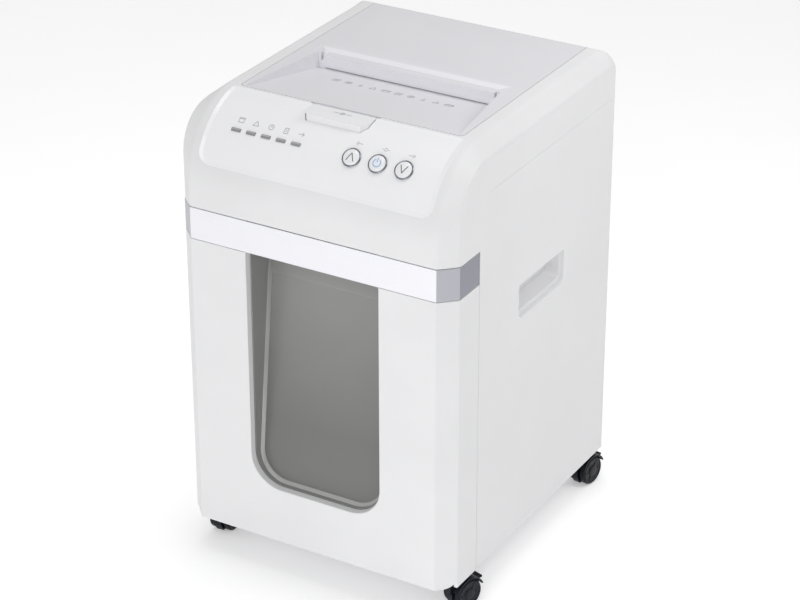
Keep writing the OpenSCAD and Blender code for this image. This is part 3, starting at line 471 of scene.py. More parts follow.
def boolean(obj, tools, operation):
    for tool in tools:
        cut = obj.modifiers.new("cut", "BOOLEAN")
        cut.operation = operation
        cut.solver = "EXACT"
        cut.object = tool
        settle(obj)
        bpy.data.objects.remove(tool)
    return obj


def carve(obj, *tools):
    return boolean(obj, tools, "DIFFERENCE")


def join(obj, *tools):
    return boolean(obj, tools, "UNION")


def gather(name, parts):
    """One object from several separate ones, in a fresh mesh."""
    verts, faces = [], []
    for part in parts:
        first = len(verts)
        verts += [part.matrix_world @ v.co for v in part.data.vertices]
        faces += [[first + i for i in f.vertices] for f in part.data.polygons]
        bpy.data.objects.remove(part)
    mesh = bpy.data.meshes.new(name)
    mesh.from_pydata(verts, [], faces)
    return link_object(name, mesh)


def moved(obj, matrix):
    obj.data.transform(matrix)
    return obj


def lathe(name, profile, steps=64):
    """Profile of (radius, height) points turned about Z. A radius of 0 closes it."""
    verts, faces, rings = [], [], []
    for r, z in profile:
        ring = [(u, v, z) for u, v in disc_points(r, steps)] if r else [(0, 0, z)]
        rings.append(list(range(len(verts), len(verts) + len(ring))))
        verts += ring
    for a, b in zip(rings, rings[1:]):
        for k in range(steps):
            n = (k + 1) % steps
            quad = [a[k % len(a)], a[n % len(a)], b[n % len(b)], b[k % len(b)]]
            face = [v for i, v in enumerate(quad) if v not in quad[:i]]
            if len(face) > 2:
                faces.append(face)
    return fix_normals(link_mesh(name, verts, faces))


def finish_piece(obj, slot, body, nodes, bevel=0, segments=2, angle=30):
    """Gives a piece its material, softens its edges and fixes it to its body."""
    obj.data.materials.clear()
    obj.data.materials.append(MATERIALS[slot])
    for face in obj.data.polygons:
        face.use_smooth = True
    if bevel:
        soften(obj, bevel, segments, angle)
    normals = obj.modifiers.new("normals", "WEIGHTED_NORMAL")
    normals.keep_sharp = True
    normals.weight = 90
    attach(obj, body)
    if nodes:
        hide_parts(*nodes)


def dissolve_flat(obj, degrees=0.3):
    bm = bmesh.new()
    bm.from_mesh(obj.data)
    bmesh.ops.remove_doubles(bm, verts=bm.verts, dist=0.004 * MM)
    bmesh.ops.dissolve_limit(bm, angle_limit=math.radians(degrees), verts=bm.verts, edges=bm.edges)
    bm.to_mesh(obj.data)
    bm.free()
    return obj


# ---------- the casing's measures ----------


def edges(node):
    """The low and high corner of a node's box in the frame, in millimetres."""
    return [[round(v / MM, 3) for v in corner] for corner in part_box(node)]


HALF_W, HALF_D, TOP_Z = edges("head_shell")[1]
BIN_TOP = edges("head_shell")[0][2]
GROUND, SEAM_Z = (corner[2] for corner in edges("cabinet"))
BIN_BACK = edges("bin_front")[1][1]
HEAD_Y = -116.0
ARC_Y, ARC_Z, FRONT_R = -106.0, 496.0, 98.0
WALL = 3.0
BEVEL_X = 165.0
CREASE_R = 52.0
BACK_ROUND = 10.0
BACK_Y, BACK_Z, BACK_R = 187.0, 577.0, 17.0
CREASE_BACK_Y, CREASE_BACK_R = 176.5, 17.5
CREASE_DROP, CREASE_IN = 16.5, 19.0
WELL_X, WELL_FRONT, WELL_BACK, WELL_R = 148.7, -116.2, 197.8, 5.5
WELL_FLOOR = 568.2
GRIP_Y0, GRIP_Y1, GRIP_Z0, GRIP_Z1 = -43, 71, 339, 384
GRIP_RIM = 2.6


def lerp(a, b, t):
    return a + (b - a) * t


def front_point(x, degrees, out=0.0):
    """Point on the rounded front, at an angle up from the level, out from the surface."""
    a = math.radians(degrees)
    r = FRONT_R + out
    return (x, ARC_Y - r * math.cos(a), ARC_Z + r * math.sin(a))


def front_frame(x, degrees):
    """Matrix that puts a piece drawn flat, +Y up and +Z out, on the rounded front."""
    turn = Matrix.Rotation(math.radians(90 - degrees), 4, "X")
    return Matrix.Translation(Vector(front_point(x, degrees)) * MM) @ turn


# ---------- upper housing ----------


def over_back(radius):
    """Outline in Y and Z of the air over the rounded back edge of the top."""
    arc = [(BACK_Y + u, BACK_Z + v) for u, v in arc_points(radius, 90, 0, 10)]
    return arc + [(230, BACK_Z), (230, 620), (BACK_Y, 620)]


def head_stations():
    """Pairs of (outer edge, side crease) in Y and Z from the front's foot over to the back's."""
    top_crease = TOP_Z - CREASE_DROP
    crease_y = -HALF_D + CREASE_IN
    crease_z = top_crease - CREASE_R
    pairs = [(-HALF_D, BIN_TOP, crease_y, BIN_TOP, 0.0), (-HALF_D, 483.0, crease_y, 497.0, 0.0)]
    for k in range(25):
        a = math.radians(90 * k / 24)
        pairs.append((ARC_Y - FRONT_R * math.cos(a), ARC_Z + FRONT_R * math.sin(a),
                      crease_y + CREASE_R - CREASE_R * math.cos(a), crease_z + CREASE_R * math.sin(a), 0.0))
    for t in (0.12, 0.35, 0.6, 0.85):
        crease = lerp(crease_y + CREASE_R, CREASE_BACK_Y, t)
        pairs.append((lerp(ARC_Y, BACK_Y, t), TOP_Z, crease, top_crease, 0.0))
    for k in range(9):
        a = math.radians(90 * k / 8)
        pairs.append((BACK_Y + BACK_R * math.sin(a), BACK_Z + BACK_R * math.cos(a),
                      CREASE_BACK_Y + CREASE_BACK_R * math.sin(a),
                      top_crease - CREASE_BACK_R + CREASE_BACK_R * math.cos(a), k / 8))
    pairs.append((HALF_D, 554.0, HALF_D - BACK_ROUND, 548.0, 1.0))
    pairs.append((HALF_D, SEAM_Z + 0.25, HALF_D - BACK_ROUND, SEAM_Z + 0.25, 1.0))
    return pairs


def head_section(round_share):
    """Half of the cross-section: (x, share of the way from outer edge to crease)."""
    soft = 3.2
    slope = 1 / (HALF_W - BEVEL_X)
    bevel = [(BEVEL_X - soft, 0), (BEVEL_X + 0.1, soft * slope * 0.25), (BEVEL_X + soft, soft * slope),
             (lerp(BEVEL_X, HALF_W, 0.5), 0.5), (HALF_W - soft, 1 - soft * slope),
             (HALF_W - soft * 0.25, 1 + 0.01), (HALF_W, 1 + soft * slope * 0.9)]
    out = []
    for k, (x, share) in enumerate(bevel):
        a = math.radians(15 * k)
        arc_x = HALF_W - BACK_ROUND + BACK_ROUND * math.sin(a)
        out.append((lerp(x, arc_x, round_share), lerp(share, 1 - math.cos(a), round_share)))
    return out


def head_surface():
    verts, rows = [], []
    for oy, oz, cy, cz, round_share in head_stations():
        half = head_section(round_share)
        row = []
        for side, points in ((-1, half[::-1]), (1, half)):
            for x, share in points:
                row.append(len(verts))
                verts.append((side * x, lerp(oy, cy, share), lerp(oz, cz, share)))
        rows.append(row)
    faces = []
    for a, b in zip(rows, rows[1:]):
        faces += [(a[k], a[k + 1], b[k + 1], b[k]) for k in range(len(a) - 1)]
    for side in (0, -1):
        edge = [row[side] for row in rows]
        x = verts[edge[0]][0]
        foot = len(verts)
        verts += [(x, HEAD_Y, SEAM_Z + 0.25), (x, HEAD_Y, BIN_TOP)]
        faces.append(edge + [foot, foot + 1])
    return fix_normals(link_mesh("head_shell_skin", verts, faces))


def well_outline(grow):
    box = rectangle(-WELL_X - grow, WELL_FRONT - grow, WELL_X + grow, WELL_BACK + grow)
    return rounded(box, WELL_R + grow, 6)


def make_head():
    head = head_surface()
    thick = head.modifiers.new("thick", "SOLIDIFY")
    thick.thickness = WALL * MM
    thick.offset = -1
    thick.use_even_offset = True
    settle(head)
    wall = prism("well_wall", well_outline(2.6), 571.0, 592.6)
    carve(wall, prism("well_core", well_outline(-0.2), 560.0, 600.0),
          prism("over_wall", over_back(BACK_R - 0.8), -170, 170, "x"))
    join(head, wall)
    carve(
        head,
        prism("well_cut", well_outline(0), WELL_FLOOR, 606.0),
        panel_seat("panel_seat", 0.06, -1.85, 8.0),
        panel_seat("panel_window", -6.5, -9.0, 3.0),
        block("latch_way", (LATCH_X - 46, -150, WELL_FLOOR), (LATCH_X + 46, -115, 600)),
    )
    for x0, x1 in ((-160, -148), (148, 160)):
        carve(head, prism("pin_way", disc_points(2.5, 24, (HINGE_Y, HINGE_Z)), x0, x1, "x"))
    dissolve_flat(head)
    finish_piece(head, "casing_white", "machine", ["head_shell"], 0.5, 2, 34)


# ---------- control panel ----------

PANEL_X = edges("control_panel")[1][0]
PANEL_LOW, PANEL_HIGH = 17.4, 82.6
PANEL_RIM = 5.6
PANEL_SINK = 1.35
PANEL_T = 1.8
BUTTON_XS = {"reverse": 38.0, "power": 72.0, "forward": 106.0}
CONTROL_ANGLE = 45.8
CAP_R, CAP_RISE = 10.0, 1.55
LENS_XS = [-76.5 + 20.2 * i for i in range(-2, 3)]
LATCH_X, LATCH_FRONT, LATCH_SLANT = -3.5, -146.0, 9
LATCH_NARROW, LATCH_WIDE = 35.5, 41.5
LATCH_LOW, LATCH_TOP = 577.5, edges("latch_button")[1][2]


def unrolled(degrees):
    return FRONT_R * math.radians(degrees)


def roll(obj):
    """Bends a flat drawing (x, distance up the front, height) onto the rounded front."""
    bm = bmesh.new()
    bm.from_mesh(obj.data)
    low = min(v.co.y for v in bm.verts)
    high = max(v.co.y for v in bm.verts)
    step = unrolled(2.2) * MM
    cut = low + step
    while cut < high:
        bmesh.ops.bisect_plane(bm, geom=bm.verts[:] + bm.edges[:] + bm.faces[:],
                               plane_co=(0, cut, 0), plane_no=(0, 1, 0), dist=0.01 * MM)
        cut += step
    for v in bm.verts:
        a = v.co.y / (FRONT_R * MM)
        r = FRONT_R * MM + v.co.z
        v.co = Vector((v.co.x, ARC_Y * MM - r * math.cos(a), ARC_Z * MM + r * math.sin(a)))
    bmesh.ops.recalc_face_normals(bm, faces=bm.faces)
    bm.to_mesh(obj.data)
    bm.free()
    return obj


def panel_outline(grow, corner):
    low, high = unrolled(PANEL_LOW), unrolled(PANEL_HIGH)
    top_corner = max(1.0, 6.0 + grow)
    return rounded(rectangle(-PANEL_X - grow, low - grow, PANEL_X + grow, high + grow),
                   [corner, corner, top_corner, top_corner], 8)


def panel_seat(name, grow, depth, height):
    return roll(prism(name, panel_outline(grow, 16.0 + min(grow, 0)), depth, height))


def latch_plan(grow, back, up=float):
    """Outline of the release button: a narrow front, two slants and wide sides to the back."""
    front, shoulder = up(LATCH_FRONT - grow), up(LATCH_FRONT - grow + LATCH_SLANT)
    narrow, wide = LATCH_NARROW + grow, LATCH_WIDE + grow
    return [(LATCH_X - narrow, front), (LATCH_X + narrow, front), (LATCH_X + wide, shoulder),
            (LATCH_X + wide, back), (LATCH_X - wide, back), (LATCH_X - wide, shoulder)]


def up_front(y):
    """Distance up the unrolled front of the point at a given y."""
    return FRONT_R * math.acos(max(-1.0, min(1.0, (ARC_Y - y) / FRONT_R)))


def panel_sheet():
    """The panel drawn flat: a soft sloping rim round a slightly sunken field."""
    rings = [
        (0.0, 16.0, -PANEL_T), (0.0, 16.0, -0.08), (-0.25, 15.8, 0.0), (-0.9, 15.2, -0.03),
        (-PANEL_RIM + 0.9, 11.2, -PANEL_SINK + 0.1), (-PANEL_RIM - 0.3, 10.2, -PANEL_SINK),
    ]
    return loft("control_panel_skin", [
        [(u, v, z) for u, v in panel_outline(grow, corner)] for grow, corner, z in rings])


def make_panel():
    panel = panel_sheet()
    up = unrolled(CONTROL_ANGLE)
    tools = [prism("hole", disc_points(11.45, 48, (x, up)), -5, 5) for x in BUTTON_XS.values()]
    for x in LENS_XS:
        slot = rounded(rectangle(x - 6.35, up - 2.25, x + 6.35, up + 2.25), 0.9, 4)
        tools.append(prism("slot", slot, -5, 5))
    tools.append(prism("notch", latch_plan(0.7, unrolled(95), up_front), -6, 6))
    carve(panel, *tools)
    roll(panel)
    finish_piece(panel, "panel_white", "machine", ["control_panel"], 0.25, 2, 40)


def make_lenses():
    parts = []
    for x in LENS_XS:
        lens = prism("lens", rounded(rectangle(-6.2, -2.1, 6.2, 2.1), 0.8, 4), -3.5, -0.35)
        ridge = prism("ridge", rounded(rectangle(-5.6, 0.15, 5.6, 1.5), 0.6, 4), -0.5, 0.05)
        parts.append(moved(join(lens, ridge), front_frame(x, CONTROL_ANGLE)))
    lenses = gather("lens_row", parts)
    finish_piece(lenses, "lens_grey", "machine", ["status_lenses"], 0.2, 2, 40)


def make_lens_highlights():
    """A paler strip over the upper half of each lens: a painted highlight."""
    for i, x in enumerate(LENS_XS, 1):
        printed("lens_line_%d" % i, [rectangle(-5.3, 0.1, 5.3, 1.25)], front_frame(x, CONTROL_ANGLE),
                "print_pale", "machine", 0.12)


def make_rings():
    profile = [(10.4, -4.0), (11.3, -4.0), (11.3, -1.3), (11.75, -1.25), (11.85, -0.75), (11.7, -0.2),
               (11.35, 0.15), (11.0, 0.15), (10.75, -0.1), (10.55, -0.6), (10.4, -1.2), (10.4, -4.0)]
    parts = [moved(lathe("ring", profile), front_frame(x, CONTROL_ANGLE)) for x in BUTTON_XS.values()]
    finish_piece(gather("bezel_rings", parts), "ring_chrome", "machine", ["button_rings"])


def strokes(points, width, step=0.8):
    """A bent line drawn as short overlapping bars."""
    out = []
    for start, end in zip(points, points[1:]):
        pieces = max(1, math.ceil(math.dist(start, end) / step))
        for k in range(pieces):
            low, high = k / pieces, min(1.0, (k + 1.12) / pieces)
            out.append(bar(lerp(start[0], end[0], low), lerp(start[1], end[1], low),
                           lerp(start[0], end[0], high), lerp(start[1], end[1], high), width))
    return out


def arc_band(r, w):
    """One outline of a ring, left open by one degree."""
    return arc_points(r + w, 0, 359, 28) + arc_points(r - w, 0, 359, 28)[::-1]


def cap_height(x, y):
    """Height of a button's domed face above its rest plane."""
    ball = (CAP_R * CAP_R + CAP_RISE * CAP_RISE) / (2 * CAP_RISE)
    return 0.35 + CAP_RISE - ball + math.sqrt(max(0.0, ball * ball - x * x - y * y))


def dome_sign(outline):
    """A thin printed stroke that follows a button's domed face."""
    return loft("stroke", [[(u, v, cap_height(u, v) + w) for u, v in outline] for w in (-0.3, 0.16)])


def button_sign(key):
    if key == "power":
        return strokes(arc_points(4.7, 118, 422), 1.0) + strokes([(0, 0.6), (0, 6.2)], 1.0)
    tip = {"reverse": 4.8, "forward": -4.8}[key]
    return strokes([(-4.6, -tip), (0, tip), (4.6, -tip)], 0.95)


def make_button(key, x):
    profile = [(0, -3.0), (9.7, -3.0), (CAP_R, -2.7), (CAP_R, 0.05)]
    profile += [(r, cap_height(r, 0)) for r in (9.85, 9.4, 8.6, 7.4, 6.0, 4.5, 3.0, 1.5, 0)]
    stem = lathe("stem", [(0, -15.2), (1.7, -15.2), (2.0, -14.9), (2.0, -2.5), (0, -2.5)], 24)
    button = moved(gather("cap_" + key, [lathe("cap", profile), stem]), front_frame(x, CONTROL_ANGLE))
    finish_piece(button, "button_white", "button_" + key, ["button_" + key])
    sign = gather("sign_" + key, [dome_sign(stroke) for stroke in button_sign(key)])
    moved(sign, front_frame(x, CONTROL_ANGLE))
    sign.data.materials.append(MATERIALS["print_blue" if key == "power" else "print_grey"])
    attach(sign, "button_" + key)


# ---------- symbols printed on the panel and in the dish ----------


def printed(name, outlines, matrix, paint, body, out=0.05, scale=(1, 1)):
    """Thin printed shapes lying on a surface, their flat drawing scaled and placed by a matrix."""
    parts = [prism("ink", outline, -0.15, out) for outline in outlines]
    ink = moved(gather(name, parts), matrix @ Matrix.Diagonal((*scale, 1, 1)))
    ink.data.materials.append(MATERIALS[paint])
    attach(ink, body)


def bar(u0, v0, u1, v1, w):
    """Outline of a short stroke of width w from one point to another."""
    side = Vector((v0 - v1, u1 - u0)).normalized() * (w / 2)
    return [(u0 + side.x, v0 + side.y), (u1 + side.x, v1 + side.y),
            (u1 - side.x, v1 - side.y), (u0 - side.x, v0 - side.y)]


def frame_strokes(u, v, w, top=None):
    """A box drawn with four strokes, as high over the middle as under it unless top is given."""
    corners = rectangle(-u, -v, u, v if top is None else top)
    return [bar(*start, *end, w) for start, end in zip(corners, corners[1:] + corners[:1])]


STATUS_SIGNS = [
    frame_strokes(1.9, 1.6, 0.5, 1.2) + [bar(-2.6, 1.9, 2.6, 1.9, 0.5)],
    [bar(-2.2, -1.6, 0, 2.0, 0.5), bar(0, 2.0, 2.2, -1.6, 0.5), bar(-2.2, -1.6, 2.2, -1.6, 0.5)],
    [arc_band(1.9, 0.25), bar(0, 0, 0, 1.3, 0.5), bar(0, 0, 1.0, 0, 0.5)],
    frame_strokes(1.4, 2.0, 0.5) + [bar(-0.7, 0.6, 0.7, 0.6, 0.4), bar(-0.7, -0.4, 0.7, -0.4, 0.4)],
    [bar(-2.2, 0, 2.2, 0, 0.5), bar(0.8, 1.4, 2.2, 0, 0.5), bar(0.8, -1.4, 2.2, 0, 0.5)],
]
LID_SIGNS = [
    frame_strokes(2.6, 2.8, 0.6) + [bar(-1.4, 1.0, 1.4, 1.0, 0.5), bar(-1.4, -0.6, 1.4, -0.6, 0.5)],
    [bar(0, -3, 0, 3, 0.7), bar(-1.8, -1.2, 0, -3, 0.7), bar(1.8, -1.2, 0, -3, 0.7)],
    frame_strokes(3.4, 2.3, 0.6) + [bar(-3.4, 0.7, 3.4, 0.7, 0.8)],
    [arc_band(2.7, 0.35), arc_band(0.9, 0.35)],
    [bar(-2.8, -2.4, 0, 2.8, 0.6), bar(0, 2.8, 2.8, -2.4, 0.6), bar(2.8, -2.4, -2.8, -2.4, 0.6)],
]
LID_SIGN_X, LID_SIGN_Y, LID_SIGN_STEP = -77.5, -17.5, 17


def on_panel(x, degrees):
    """Matrix for a flat drawing on the panel's sunken field."""
    return front_frame(x, degrees) @ Matrix.Translation((0, 0, -PANEL_SINK * MM))


def make_status_signs():
    for i, (x, sign) in enumerate(zip(LENS_XS, STATUS_SIGNS), 1):
        printed("status_sign_%d" % i, sign, on_panel(x + 1.5, 53.6), "print_pale", "machine",
                scale=(1.75, 1.75))


def make_button_labels():
    """A small plain sign over each push button."""
    arrow = [bar(-1.6, 0, 3.4, 0, 0.6), bar(-3.2, 0, -1.0, 1.5, 0.6), bar(-3.2, 0, -1.0, -1.5, 0.6)]
    dots = [arc_band(1.3, 0.3), bar(-3.8, 0, -2.3, 0, 0.6), bar(2.3, 0, 3.8, 0, 0.6)]
    turned = [[(-u, v) for u, v in stroke[::-1]] for stroke in arrow]
    for (key, x), label in zip(BUTTON_XS.items(), (arrow, dots, turned)):
        printed("button_label_" + key, label, on_panel(x + 2.0, 57.2), "print_pale", "machine",
                scale=(1.25, 1.5))


def make_latch_sign():
    """A plain press sign on the release button."""
    at = Matrix.Translation(Vector((LATCH_X + 2, -127.5, LATCH_TOP)) * MM)
    sign = [arc_band(2.7, 0.5), arc_band(0.8, 0.4), bar(-12, 0, -4.8, 0, 1.0), bar(4.8, 0, 12, 0, 1.0)]
    printed("latch_sign", sign, at, "print_mid", "latch_button")


def make_lid_signs():
    """A row of small plain signs on the dished floor."""
    slope = math.atan2(DISH_Z1 - DISH_Z0, DISH_Y1 - DISH_Y0)
    z = DISH_Z0 + math.tan(slope) * (LID_SIGN_Y - DISH_Y0)
    for i in range(10):
        at = Matrix.Translation(Vector((LID_SIGN_X + LID_SIGN_STEP * i, LID_SIGN_Y, z)) * MM)
        printed("lid_sign_%d" % (i + 1), LID_SIGNS[i * 3 % 5], at @ Matrix.Rotation(slope, 4, "X"),
                "print_mid", "lid", 0.08, (1.45, 1.45))


# ---------- lid ----------

LID_X = edges("lid")[1][0]
LID_FRONT = edges("lid")[0][1]
LID_LOW = 576.0
HINGE_Y, HINGE_Z, HINGE_R = 193.1, 589.4, 4.4
DISH_FRONT, DISH_BACK = 142.0, 122.0
DISH_Y0, DISH_Z0 = -112.5, 592.3
SLOT_X = 114.0
SLOT_Y0, SLOT_Y1 = 19.0, 32.0
DISH_Y1, DISH_Z1 = 19.0, 574.2
LIP_Y, LIP_Z, LIP_TOP = 16.0, 575.7, 584.8
LID_SKIN = 2.6
EAVE_X, EAVE_Y = 133.0, 38.0
HOOD_Y = LIP_Y + 5.4
SPRING_X, SPRING_Y = 45.0, 57.74


def dish_block(name, grow, y1=LIP_Y + 0.4):
    """The hollow over the dished floor: sides that close in towards the slot."""
    top, lean = 640.0, 7.0
    slope = (DISH_Z1 - DISH_Z0) / (DISH_Y1 - DISH_Y0)
    run = (DISH_BACK - DISH_FRONT) / (LIP_Y - DISH_Y0)
    rings = []
    for y in (DISH_Y0 - grow, y1):
        z = DISH_Z0 - grow + slope * (y - DISH_Y0)
        low = DISH_FRONT + run * (y - DISH_Y0) + grow
        high = low + max(0.0, TOP_Z - z) * lean / 20.0 * 0.35
        rings.append([(-low, y, z), (low, y, z), (high, y, TOP_Z), (high, y, top),
                      (-high, y, top), (-high, y, TOP_Z)])
    return loft(name, rings)


def convex(name, points):
    bm = bmesh.new()
    for point in points:
        bm.verts.new(Vector(point) * MM)
    result = bmesh.ops.convex_hull(bm, input=bm.verts)
    loose = [v for v in result["geom_interior"] if isinstance(v, bmesh.types.BMVert)]
    bmesh.ops.delete(bm, geom=loose, context="VERTS")
    bmesh.ops.dissolve_limit(bm, angle_limit=math.radians(0.4), verts=bm.verts, edges=bm.edges)
    mesh = bpy.data.meshes.new(name)
    bm.to_mesh(mesh)
    bm.free()
    return fix_normals(link_object(name, mesh))


def hip_points(drop=0.0):
    """Corners of the hipped top, let down by drop: its eaves, the rounded lip and the peak."""
    lip_x = DISH_BACK - 4.5
    rows = [
        (EAVE_X, EAVE_Y, TOP_Z - 4.0, TOP_Z), (EAVE_X, 185.0, TOP_Z - 4.0, TOP_Z),
        (lip_x, LIP_Y + 0.2, LIP_Z + 2.5, LIP_TOP - 2.6), (lip_x, LIP_Y + 1.3, LIP_Z + 0.6, LIP_TOP - 0.7),
        (lip_x, LIP_Y + 3.4, LIP_Z, LIP_TOP + 0.4), (DISH_BACK, HOOD_Y, LIP_Z + 1.5, LIP_TOP + 0.4),
        (DISH_BACK - 1.2, LIP_Y + 2.2, LIP_Z + 1.5, LIP_TOP - 1.4),
    ]
    points = [(s * x, y, z - drop) for x, y, *ends in rows for s in (-1, 1) for z in ends]
    points += [(s * (EAVE_X - 3), EAVE_Y - 3, TOP_Z - 0.4 - drop) for s in (-1, 1)]
    return points + [(0, 90, 599.7 - drop)]


def add_dish(lid):
    """The dished floor of the tray."""
    floor = dish_block("dish_skin", LID_SKIN, DISH_Y1 + 2.0)
    carve(floor, block("dish_above", (-160, -130, TOP_Z - 0.6), (160, 60, 660)),
          block("dish_behind", (-160, LIP_Y + 4, 560), (160, 80, 660)))
    join(lid, floor)


def add_hood(lid):
    """The hipped top, its lip over the slot and the cheeks beside the lip."""
    hood = convex("hood", hip_points())
    core = convex("hood_core", hip_points(LID_SKIN + 0.4))
    carve(hood, carve(core, block("hood_front", (-160, -10, 560), (160, LIP_Y + 4.5, 660))))
    for side in (-1, 1):
        join(lid, side_block("cheek", side, (116.5, LIP_Y - 3, 580.0), (139.0, 42.0, TOP_Z - 0.5)))
    carve(lid, dish_block("dish_air", 0.0))
    x, sky = DISH_BACK - 2.5, 630.0
    over_lip = [(x, y, z) for y in (LIP_Y - 1, HOOD_Y) for z in (LIP_TOP - 0.6, sky)]
    over_hood = [(x, HOOD_Y, LIP_TOP), (129.0, EAVE_Y, TOP_Z - 0.05), (x, HOOD_Y, sky), (129.0, EAVE_Y, sky)]
    for points in (over_lip, over_hood):
        carve(lid, convex("over", [(s * x, y, z) for s in (-1, 1) for x, y, z in points]))
    join(lid, hood)


def add_throat(lid):
    """The walls of the hand-feed slot under the hood."""
    throat = block("throat", (-SLOT_X - 2.5, SLOT_Y0 - 2.5, 565.2), (SLOT_X + 2.5, SLOT_Y1 + 2.5, 590.6))
    carve(throat, block("throat_way", (-SLOT_X, SLOT_Y0, 560), (SLOT_X, SLOT_Y1, 588.4)),
          block("throat_front", (-SLOT_X, LIP_Y - 4, 574.3), (SLOT_X, SLOT_Y0 + 3, LIP_Z)))
    join(lid, throat)
    carve(lid, block("slot_way", (-SLOT_X, SLOT_Y0, 560), (SLOT_X, SLOT_Y1, 583.0)),
          block("slot_mouth", (-SLOT_X, LIP_Y - 1, 574.7), (SLOT_X, SLOT_Y0 + 1, LIP_Z + 0.1)))


def add_ribs(lid):
    """A rib, a spring cup and a hinge pin's hole on each side."""
    for side in (-1, 1):
        at = Matrix.Translation((side * SPRING_X * MM, SPRING_Y * MM, 0))
        rib = block("rib", (side * 91 - 1, SLOT_Y1 + 2, 580.0), (side * 91 + 1, HINGE_Y - 8, 592.4))
        cup = lathe("cup", [(0, LID_LOW), (9.0, LID_LOW), (9.0, 592.6), (0, 592.6)], 40)
        well = lathe("cup_core", [(0, 570.0), (7.0, 570.0), (7.0, 588.8), (0, 588.8)], 40)
        pin = prism("pin_way", disc_points(2.6, 24, (HINGE_Y, HINGE_Z)), side * 144 - 5, side * 144 + 5, "x")
        join(lid, rib, moved(cup, at))
        carve(lid, moved(well, at), pin)


def make_lid():
    plan = rounded(rectangle(-LID_X, LID_FRONT, LID_X, HINGE_Y), [5, 5, 0, 0], 6)
    lid = prism("lid_skin", plan, LID_LOW, TOP_Z)
    inner = rectangle(-LID_X + LID_SKIN, LID_FRONT + LID_SKIN, LID_X - LID_SKIN, HINGE_Y - 7)
    carve(lid, prism("lid_core", rounded(inner, [3, 3, 1, 1], 4), 570.0, TOP_Z - LID_SKIN))
    join(lid, prism("lid_back", disc_points(HINGE_R, 40, (HINGE_Y, HINGE_Z)), -LID_X, LID_X, "x"))
    add_dish(lid)
    add_hood(lid)
    add_throat(lid)
    add_ribs(lid)
    carve(lid, prism("over_lid", over_back(BACK_R), -LID_X - 2, LID_X + 2, "x"))
    join(lid, block("tongue", (LATCH_X - 16, LID_FRONT + 1.2, 560.2), (LATCH_X + 16, LID_FRONT + 4, 577.5)))
    dissolve_flat(lid)
    finish_piece(lid, "lid_white", "lid", ["lid"], 1.1, 3, 16)


# ---------- release button ----------


def make_latch():
    back = LID_FRONT - 2.4
    outline = rounded(latch_plan(0, back), [4.5, 4.5, 5, 1.2, 1.2, 5], 6)
    button = prism("latch_cap", outline, LATCH_LOW, LATCH_TOP)
    # the upper face falls away a little to the front
    carve(button, convex("tilt", [(x, y, z) for x in (-60, 60) for y, z in (
        (-160, 591.0), (-112, 594.4), (-160, 620), (-112, 620))]))
    stem = lathe("stem", [(0, 572.0), (6.6, 572.0), (7, 572.4), (7, 577), (0, 577)], 40)
    join(button, block("flange", (LATCH_X - 44, LATCH_FRONT - 2.5, 576), (LATCH_X + 44, back - 1.2, 578)),
         moved(stem, Matrix.Translation((LATCH_X * MM, -132 * MM, 0))))
    dissolve_flat(button)
    finish_piece(button, "button_white", "latch_button", ["latch_button"], 1.2, 3, 35)


# ---------- cabinet ----------


def casing_plan(grow, front):
    """Footprint from the cut at front to the back, with rounded back corners."""
    x, y, r = HALF_W - grow, HALF_D - grow, max(1.0, BACK_ROUND - grow)
    return rounded([(-x, front), (x, front), (x, y), (-x, y)], [0, 0, r, r], 8)


def grip_cup(side, grow, depth):
    """The hollow of a hand grip: a step, then walls that close in to the bottom."""
    y0, y1, z0, z1 = GRIP_Y0 - grow, GRIP_Y1 + grow, GRIP_Z0 - grow, GRIP_Z1 + grow
    levels = [(2.0, 0.0, 0.0), (-0.01, 0.0, 0.0), (-3.6, 0.8, 0.3), (-5.2, 7.0, 3.0), (-10.0, 9.0, 4.0),
              (-depth, 14.0, 8.0)]
    rings = []
    for out, low_in, side_in in levels:
        box = rectangle(y0 + side_in * 0.9, z0 + low_in, y1 - side_in * 0.9, z1 - side_in * 0.25)
        outline = rounded(box, [9 + grow, 9 + grow, 2 + grow, 2 + grow], 5)
        rings.append([(side * (HALF_W + out), u, v) for u, v in outline])
    return loft("grip", rings)


def make_cabinet():
    cabinet = prism("cabinet_skin", casing_plan(0, BIN_BACK + 0.6), GROUND, SEAM_Z)
    carve(
        cabinet,
        prism("hollow", casing_plan(WALL, -160), GROUND - 5, SEAM_Z + 5),
        block("front_notch", (-200, -160, BIN_TOP), (200, HEAD_Y, 560)),
        block("rear_way", (-160, HALF_D - 6, 90), (160, HALF_D + 5, 525)),
    )
    for side in (-1, 1):
        cup = grip_cup(side, GRIP_RIM, 24.0)
        join(cabinet, carve(cup, side_block("shave", side, (HALF_W - 1, -80, 300), (220, 100, 420))))
        carve(cabinet, grip_cup(side, 0.0, 21.5))
        ledge_x = HALF_W - WALL
        join(cabinet, side_block("ledge", side, (ledge_x - 6, HEAD_Y + 10, 449),
                                 (ledge_x + 0.5, HALF_D - WALL - 4, 453)))
    rim = block("rim", (-164, HALF_D - 4.5, 86), (164, HALF_D - 3, 529))
    carve(rim, block("rim_way", (-152, HALF_D - 6, 98), (152, HALF_D, 517)))
    join(cabinet, rim)
    dissolve_flat(cabinet)
    finish_piece(cabinet, "casing_white", "machine", ["cabinet"], 0.55, 2, 34)


# ---------- bin ----------

WINDOW_HALF = 88.0
WINDOW_Z = 120.0
WINDOW_R = 40.0
POCKET_TOP = edges("bin_window")[1][2]
BAND_Z = 428.0
RIM_DEPTH = 8.0
POCKET_Y, POCKET_LEAN = -HALF_D + 16.0, 0.117
BIN_BEVEL_X, BIN_BEVEL_Y = 20, 19


